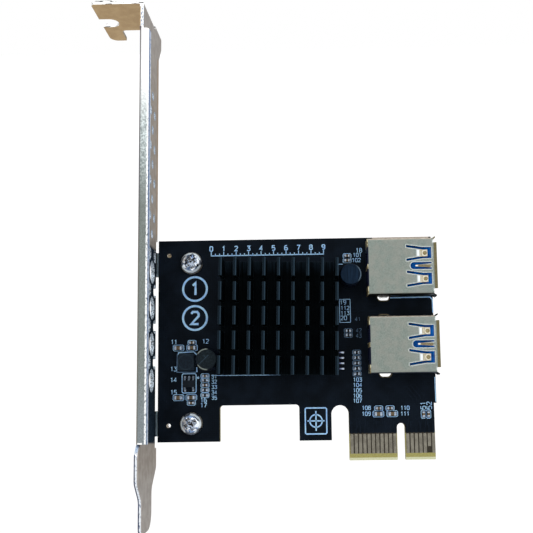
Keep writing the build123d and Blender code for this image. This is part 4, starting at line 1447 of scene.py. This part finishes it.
@dataclass
class BoardPrint:
    """Screen print on the component side: frames, lines, a plain scale and plain numbers."""

    small_parts: SmallParts
    line_width: float = 0.15
    labels: tuple = ((-53.2, 28.15), (-45.7, 28.2), (-53.3, 21.75), (-53.3, 19.2), (-53.25, 16.3),
                     (-46.17, 14.4), (-46.17, 13.2), (-8.8, 49.45), (-12.89, 36.96), (-12.8, 33.25))
    close_labels: tuple = ((-43.66, 19.85), (-43.66, 18.65), (-43.66, 17.4), (-43.66, 16.15),
                           (-43.67, 14.9))
    long_labels: tuple = ((-9.23, 48.35), (-9.48, 47.08), (-9.87, 18.65), (-9.91, 17.4),
                          (-9.94, 16.16), (-9.97, 14.93), (-9.99, 13.74), (-7.97, 12.05), (-8.01, 10.69),
                          (1.07, 11.93), (1.02, 10.6), (-12.44, 35.62), (-12.46, 34.4))
    # These labels go on the ink painted darker as shade.
    thin_labels: tuple = ((-9.47, 32.92), (-9.31, 30.23), (-9.34, 28.97))
    turned_labels: tuple = ((5.3, 12.42), (6.72, 12.42))
    marks: tuple = ((-48.22, 40.76), (-48.22, 33.79))
    target: tuple = (-19.8, 9.2)
    scale_ends: tuple = (-44.4, -17.2)
    scale_level: float = 48.7
    scale_ticks: int = 28
    scale_count: int = 3

    def numbers(self, sheet: InkSheet, thin: InkSheet) -> None:
        """Print the plain part numbers: each group has its first number, height and stroke.

        Args:
            sheet: Layer of clear ink.
            thin: Layer of ink painted darker as shade.
        """
        groups = ((sheet, self.labels, 11, 0.95, self.line_width),
                  (sheet, self.close_labels, 31, 0.8, 0.12), (sheet, self.long_labels, 101, 0.84, 0.14),
                  (thin, self.thin_labels, 41, 0.85, 0.09), (sheet, self.turned_labels, 51, 1.1, 0.14))
        for layer, places, first, height, width in groups:
            for count, centre in enumerate(places, start=first):
                layer.number(centre, count, height, width, turned=places is self.turned_labels)

    def scale(self, sheet: InkSheet) -> None:
        """Print a plain length scale with ticks and numbers along the top.

        Args:
            sheet: Layer of clear ink.
        """
        (left, right), base = self.scale_ends, self.scale_level
        sheet.line([(left, base), (right, base)], 0.24)
        for step, x in enumerate(np.linspace(left + 0.1, right - 0.1, self.scale_ticks)):
            count, between = divmod(step, self.scale_count)
            sheet.line([(x, base), (x, base + (0.5 if between else 0.95))], 0.2)
            if not between:
                sheet.number((x, base + 1.7), count, 1.1, 0.24)

    def ringed_marks(self, sheet: InkSheet) -> None:
        """Print two plain ringed numbers and a round aiming mark in a frame.

        Args:
            sheet: Layer of clear ink.
        """
        for count, (x, z) in enumerate(self.marks, start=1):
            sheet.ring(x, z, 2.85, 0.5)
            sheet.number((x, z), count, 2.9, 0.55)
        x, z = self.target
        sheet.frame(x - 2.5, x + 2.5, z - 3.0, z + 3.0, 0.3)
        sheet.ring(x, z, 1.45, 0.3)
        sheet.line([(x - 2.0, z), (x + 2.0, z)], 0.3)
        sheet.line([(x, z - 2.3), (x, z + 2.3)], 0.3)

    def outlines(self, sheet: InkSheet, thin: InkSheet) -> None:
        """Print the outlines round the larger parts.

        Args:
            sheet: Layer of clear ink.
            thin: Layer of ink painted darker as shade.
        """
        width = self.line_width
        sheet.line([(-52.3, 24.6), (-52.1, 25.6), (-48.5, 25.75), (-47.75, 25.0)], 0.28)
        sheet.line([(-47.8, 22.1), (-47.75, 20.95)], 0.26)
        thin.line([(-52.4, 25.3), (-52.5, 21.0), (-47.9, 20.9)], 0.22)
        sheet.frame(-51.26, -47.94, 16.11, 20.6, 0.2)
        sheet.frame(-13.73, -11.19, 32.18, 37.69, width, 0.1)
        sheet.line([(-20.35, 46.3), (-12.75, 46.15)], width)
        sheet.line([(-44.4, 20.1), (-30.6, 20.02)], width)
        thin.line([(-30.6, 20.02), (-28.0, 20.0)], width)
        sheet.line([(-1.65, 37.88), (7.75, 37.93), (8.33, 37.35), (8.36, 34.2)], 0.26)
        sheet.line([(8.27, 19.0), (8.3, 13.3)], 0.18)
        sheet.ring(-47.45, 19.64, 0.18, 0.16)

    def build(self) -> list[Piece]:
        """Print everything on a clear layer and on a layer painted darker as shade.

        Returns:
            The two printed layers.
        """
        clear = InkSheet("board_print", INK)
        thin = InkSheet("shaded_board_print", SHADED_INK)
        self.small_parts.frames(clear, thin)
        self.numbers(clear, thin)
        self.scale(clear)
        self.ringed_marks(clear)
        self.outlines(clear, thin)
        return [clear.build(Slot.CERAMIC), thin.build(Slot.CERAMIC)]


@dataclass
class BoardTracks:
    """Covered copper tracks and plated through dots on the board."""

    contact_left: int = 11
    contact_right: int = 7
    track_width: float = 0.22
    contact_top: float = 6.1
    tracks_at_ports: int = 4

    def contact_places(self) -> Points:
        """Return the X of every contact, left and right of the key notch."""
        return np.concatenate([-1.5 - np.arange(self.contact_left), 1.5 + np.arange(self.contact_right)])

    def routes(self) -> list[list[tuple]]:
        """Return the tracks from the contacts up the tongue and from the ports to the cooler.

        Returns:
            X and Z of the corners of each track.
        """
        routes = []
        for count, x in enumerate(self.contact_places()):
            rise = 7.3 + 0.45 * (count % 3)
            end = x + (0.25 if count % 2 else -0.25)
            routes.append([(x, self.contact_top), (x, rise), (end, rise + 0.25), (end, rise + 1.6)])
        for count in range(self.tracks_at_ports):
            z = 36.4 - 0.75 * count
            routes.append([(-5.4, z), (-9.0, z), (-9.9, z - 0.9), (-10.9, z - 0.9)])
            x, z = 0.9 + 0.85 * count, 16.5 + 0.3 * count
            routes.append([(x - 0.9, z), (x, z), (x + 2.1, z - 2.6), (x + 2.1, z - 3.2)])
        return routes

    def dots(self) -> Points:
        """Return the centres of the plated dots.

        Returns:
            X and Z of each dot.
        """
        contacts = self.contact_places()
        near = np.stack([contacts + 0.1, np.where(np.arange(len(contacts)) % 2, 9.4, 8.6)], axis=1)
        rows = np.array([(x, z) for x in (-55.2, -41.6, -15.2, -3.2) for z in (14.2, 29.4, 31.4, 47.6)])
        return np.concatenate([near, rows])

    def build(self) -> list[Piece]:
        """Build the tracks and the dots on the component side.

        Returns:
            The new pieces.
        """
        front = InkSheet("covered_tracks", TRACK, thickness=0.012)
        for route in self.routes():
            front.line(route, self.track_width)
        profile = np.array([(0.16, 0.0), (0.16, 0.03), (0.22, 0.045), (0.3, 0.02), (0.3, 0.0)])
        level = Side.COMPONENT.face
        points, faces = turned_rings(self.dots(), profile, level, Side.COMPONENT, 14)
        return [front.build(Slot.MASK), add_piece("plated_dots", points, faces, TRACK)]


@dataclass
class LeadSolder:
    """Solder on the back round every through lead and at the feet of the chips."""

    slow_offsets: tuple = (-3.5, -1.0, 1.0, 3.5)
    fast_offsets: tuple = (-4.0, -2.0, 0.0, 2.0, 4.0)
    slow_row: float = -4.8
    fast_row: float = -6.3
    leg_row: float = -3.25
    slot_offset: float = 6.4
    memory_centre: tuple = (-16.0, 23.16)
    memory_pitch: float = 1.27
    memory_reach: float = 2.8
    regulator_centre: tuple = (-49.6, 18.25)
    regulator_pitch: float = 0.98
    regulator_reach: float = 1.4
    rim_thickness: float = 0.03
    rim_radius: float = 0.98
    rim_straight: float = 0.55

    def lead_places(self) -> Points:
        """Return the X and Z of every lead that passes through the board.

        Returns:
            One row for each lead.
        """
        rows = ((self.slow_row, self.slow_offsets), (self.fast_row, self.fast_offsets))
        ports = [(x, centre + offset)
                 for centre in PORT_CENTRES for x, offsets in rows for offset in offsets]
        cans = [(x + side, z) for x, z in CAN_CENTRES for side in (-1.0, 1.0)]
        return np.array(ports + cans)

    def cones(self) -> Piece:
        """Build a hollow cone of solder round every lead on the back.

        Returns:
            The new piece.
        """
        profile = np.array([(0.2, 0.0), (0.85, 0.0), (0.85, 0.05), (0.62, 0.12), (0.47, 0.3),
                            (0.4, 0.62), (0.2, 0.66)])
        points, faces = turned_rings(self.lead_places(), profile, Side.SOLDER.face, Side.SOLDER)
        return add_piece("lead_solder", points, faces, SOLDER)

    def leg_lumps(self) -> Piece:
        """Build the solder on the back of the legs; the lower slots stay open on their outer side.

        Returns:
            The new piece.
        """
        centres = np.array([(self.leg_row, c + side) for c in PORT_CENTRES for side in (-5.45, 6.5)])
        halves = np.array([(1.5, 0.7), (1.5, 1.0)] * len(PORT_CENTRES))
        lean = np.array([(0.0, -0.6), (0.0, -0.3)] * len(PORT_CENTRES))
        return solder_lumps("leg_solder", centres, halves, 0.7, lean, Side.SOLDER)

    def slot_rims(self, name: str, level: float) -> Piece:
        """Build the plated rim round every leg slot: two straight sides joined by half circles.

        Args:
            name: Name of the layer.
            level: Y of its foot.

        Returns:
            The rims of all four slots on one side.
        """
        sheet = InkSheet(name, RIM, level=level, thickness=self.rim_thickness)
        turn = np.linspace(-0.5 * np.pi, 0.5 * np.pi, 13)
        right = self.rim_radius * np.stack([np.cos(turn), np.sin(turn)], axis=1)
        right[:, 0] += self.rim_straight
        outline = np.concatenate([right, -right])
        for centre in PORT_CENTRES:
            for side in (-1, 1):
                middle = (self.leg_row, centre + side * self.slot_offset)
                sheet.line(outline + middle, 0.24, closed=True)
        return sheet.build(Slot.TIN)

    def foot_lumps(self) -> Piece:
        """Build the solder under the feet of the two leaded chips.

        Returns:
            The new piece.
        """
        x, z = self.memory_centre
        pitch, reach = self.memory_pitch, self.memory_reach
        memory = [(x + side * reach, z + step * pitch)
                  for side in (-1, 1) for step in (-1.5, -0.5, 0.5, 1.5)]
        x, z = self.regulator_centre
        pitch, reach = self.regulator_pitch, self.regulator_reach
        regulator = [(x + step * pitch, z + reach) for step in (-1, 0, 1)]
        regulator += [(x + step * pitch, z - reach) for step in (-1, 1)]
        centres = np.array(memory + regulator)
        halves = np.array([(0.34, 0.25)] * len(memory) + [(0.26, 0.42)] * len(regulator))
        lean = np.zeros_like(centres)
        return solder_lumps("chip_foot_solder", centres, halves, 0.1, lean, Side.COMPONENT)

    def build(self) -> list[Piece]:
        """Return all the solder pieces.

        Returns:
            The new pieces.
        """
        rims = [self.slot_rims("slot_rims_front", Side.COMPONENT.face),
                self.slot_rims("slot_rims_back", Side.SOLDER.face + self.rim_thickness + 0.002)]
        return [self.cones(), self.leg_lumps(), self.foot_lumps(), *rims]


@dataclass
class CanTops:
    """Pressed detail on the tops of the two cans: sleeve edge and score."""

    top_level: float = -8.1

    def build(self) -> list[Piece]:
        """Build the folded edge of the sleeve and the score lines.

        Returns:
            The new pieces.
        """
        profile = np.array([(1.95, -0.02), (2.3, -0.05), (2.44, -0.16), (2.3, 0.03), (2.1, 0.08),
                            (1.97, 0.05)])
        points, faces = turned_rings(np.array(CAN_CENTRES), profile, self.top_level, Side.COMPONENT, 40)
        edge = add_piece("can_sleeve_edges", points, faces, CAN)
        score = InkSheet("can_scores", SCORE, level=self.top_level, thickness=0.015)
        x, z = CAN_CENTRES[1]
        score.line([(x - 1.75, z - 1.2), (x + 0.5, z + 0.95)], 0.1)
        score.line([(x - 0.6, z + 0.9), (x - 0.1, z + 0.35)], 0.08)
        return [edge, score.build(Slot.SLEEVE)]


@dataclass
class Dressing:
    """Finish of every CAD node that stays in view."""

    nodes: tuple = (
        (MASK, ("circuit_board",)), (GOLD, ("edge_contacts_front", "edge_contacts_back")),
        (BRACKET, ("bracket",)), (SCREW, ("bracket_screws",)), (FINS, ("cooler",)),
        (SILICONE, ("thermal_pad",)), (PACKAGE, ("main_chip", "memory_chip", "regulator_chip")),
        (SOLDER, ("main_chip_pads",)), (MEMORY_LEAD, ("memory_leads",)),
        (REGULATOR_LEAD, ("regulator_leads",)), (CORE, ("inductor_core",)), (CAN, ("capacitor_cans",)),
        (TIN, ("inductor_terminals", "capacitor_leads", "ceramic_ends", "resistor_ends")),
        (BUNG, ("capacitor_bungs",)), (CERAMIC, ("ceramic_bodies",)), (RESISTOR, ("resistor_bodies",)),
        (UPPER_SHELL, ("upper_port_shell",)), (LOWER_SHELL, ("lower_port_shell",)),
        (PORT_BLUE, ("upper_port_insulator", "lower_port_insulator")),
        (PORT_GOLD, ("upper_port_contacts", "lower_port_contacts",
                     "upper_port_fast_contacts", "lower_port_fast_contacts")))

    def apply(self, nodes: dict) -> None:
        """Give each CAD node its finish.

        Args:
            nodes: The CAD objects by node name.
        """
        for finish, names in self.nodes:
            for name in names:
                if not nodes[name].material_slots:
                    nodes[name].data.materials.append(finish.material())
                for slot in nodes[name].material_slots:
                    slot.material = finish.material()
                LOG.info("finish %s on %s", finish.title, name)


@dataclass(frozen=True)
class Lamp:
    """Broad distant lamp; its angle in degrees softens the shadows."""

    name: str
    energy: float
    towards: tuple[float, float, float]
    angle: float

    def build(self) -> None:
        """Add the lamp, turned so that its light travels in its direction."""
        data = bpy.data.lights.new(self.name, "SUN")
        data.energy = self.energy
        data.angle = np.radians(self.angle)
        back = -np.array(self.towards) / np.linalg.norm(self.towards)
        side = np.cross((0.0, 0.0, 1.0), back)
        side /= np.linalg.norm(side)
        turn = Matrix(np.stack([side, np.cross(back, side), back], axis=1).tolist())
        link(self.name, data).matrix_world = turn.to_4x4()


@dataclass(frozen=True)
class Camera:
    """Camera low in front of the card and turned a little; its axes are unit vectors."""

    lens: float = 53.227
    sensor: float = 36.0
    shift: tuple = (-0.05168, 0.03525)
    place: tuple = (-0.02127816, -0.18780499, 0.01850087)
    right: tuple = (0.99971867, 0.01889349, -0.01433951)
    up: tuple = (0.01651440, -0.12050229, 0.99257568)
    back: tuple = (0.01702527, -0.99253324, -0.12078040)
    near: float = 0.01

    def build(self) -> None:
        """Add the camera and look through it."""
        data = bpy.data.cameras.new("camera")
        data.lens, data.sensor_width, data.clip_start = self.lens, self.sensor, self.near
        data.shift_x, data.shift_y = self.shift
        camera = link("camera", data)
        turn = Matrix((self.right, self.up, self.back)).transposed().to_4x4()
        camera.matrix_world = Matrix.Translation(self.place) @ turn
        bpy.context.scene.camera = camera


@dataclass
class Studio:
    """Plain pale floor and soft light round the card."""

    floor_level: float = -0.12
    floor_reach: float = 4.0
    flat_reach: float = 1.2
    rise: float = 0.25
    ambient: float = 0.8
    lamps: tuple = (Lamp("key", 0.55, (0.35, 0.75, -0.75), 40.0),
                    Lamp("fill", 0.2, (-0.6, 0.8, -0.2), 60.0))

    def seen(self, g: Graph) -> Socket:
        """Return a mask of the rays that see the background: direct, mirrored or passed on.

        Args:
            g: Graph of the floor or the world.

        Returns:
            The mask.
        """
        path = g.add("ShaderNodeLightPath").outputs
        total = g.math("ADD", path["Is Camera Ray"], path["Is Glossy Ray"])
        return g.math("ADD", total, path["Is Transmission Ray"], clamp=True)

    def world(self) -> None:
        """Make the world white where it is seen and a softer grey where it lights."""
        world = bpy.data.worlds.new("studio")
        g = empty_graph(world)
        strength = g.span(self.ambient, 1.0, self.seen(g))
        ground = g.add("ShaderNodeBackground", {"Color": (1, 1, 1, 1), "Strength": strength})
        g.add("ShaderNodeOutputWorld", {"Surface": ground.outputs[0]})
        bpy.context.scene.world = world

    def paper(self) -> bpy.types.Material:
        """Make the floor's pale paper, which glows faintly where it is seen.

        Returns:
            The material.
        """
        made = bpy.data.materials.new("pale_floor")
        g = empty_graph(made)
        cloud = g.noise(g.add("ShaderNodeTexCoord").outputs["Object"], 60.0)
        base = g.add("ShaderNodeBsdfDiffuse", {"Color": g.mix(cloud, (238, 238, 238), (244, 244, 244))})
        glow = g.add("ShaderNodeEmission", {"Strength": g.span(0.0, 0.22, self.seen(g))})
        both = g.add("ShaderNodeAddShader", {0: base.outputs[0], 1: glow.outputs[0]})
        g.add("ShaderNodeOutputMaterial", {"Surface": both.outputs[0]})
        return made

    def floor(self) -> None:
        """Lay a pale floor that curves up behind: height = rise times the square of the way back."""
        columns, rows = 25, 49
        across = np.linspace(-self.floor_reach, self.floor_reach, columns)
        back = np.linspace(-self.floor_reach, self.floor_reach, rows)
        x, y = np.meshgrid(across, back, indexing="ij")
        z = self.floor_level + self.rise * np.maximum(y - self.flat_reach, 0.0) ** 2
        index = np.arange(columns * rows).reshape(columns, rows)
        quads = np.stack([index[:-1, :-1], index[1:, :-1], index[1:, 1:], index[:-1, 1:]], axis=-1)
        mesh = bpy.data.meshes.new("floor")
        points = np.stack([x, y, z], axis=-1).reshape(-1, 3)
        mesh.from_pydata(points.tolist(), [], quads.reshape(-1, 4).tolist())
        mesh.update()
        mesh.materials.append(self.paper())
        floor = link("floor", mesh)

    def build(self) -> None:
        """Set up the whole studio and the camera."""
        bpy.context.scene.view_settings.view_transform = "Standard"
        self.world()
        self.floor()
        for lamp in self.lamps:
            lamp.build()
        Camera().build()


def main() -> None:
    """Load the frame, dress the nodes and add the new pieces."""
    logging.basicConfig(level=logging.INFO, format="%(message)s")
    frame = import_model()
    Studio().build()
    Dressing().apply(frame["nodes"])
    small_parts = SmallParts()
    pieces = [*BoardPrint(small_parts).build(), small_parts.solder(), *BoardTracks().build(),
              *LeadSolder().build(), *CanTops().build()]
    for piece in pieces:
        LOG.info("piece %s with %d faces", piece.name, len(piece.data.polygons))


if __name__ == "__main__":
    main()
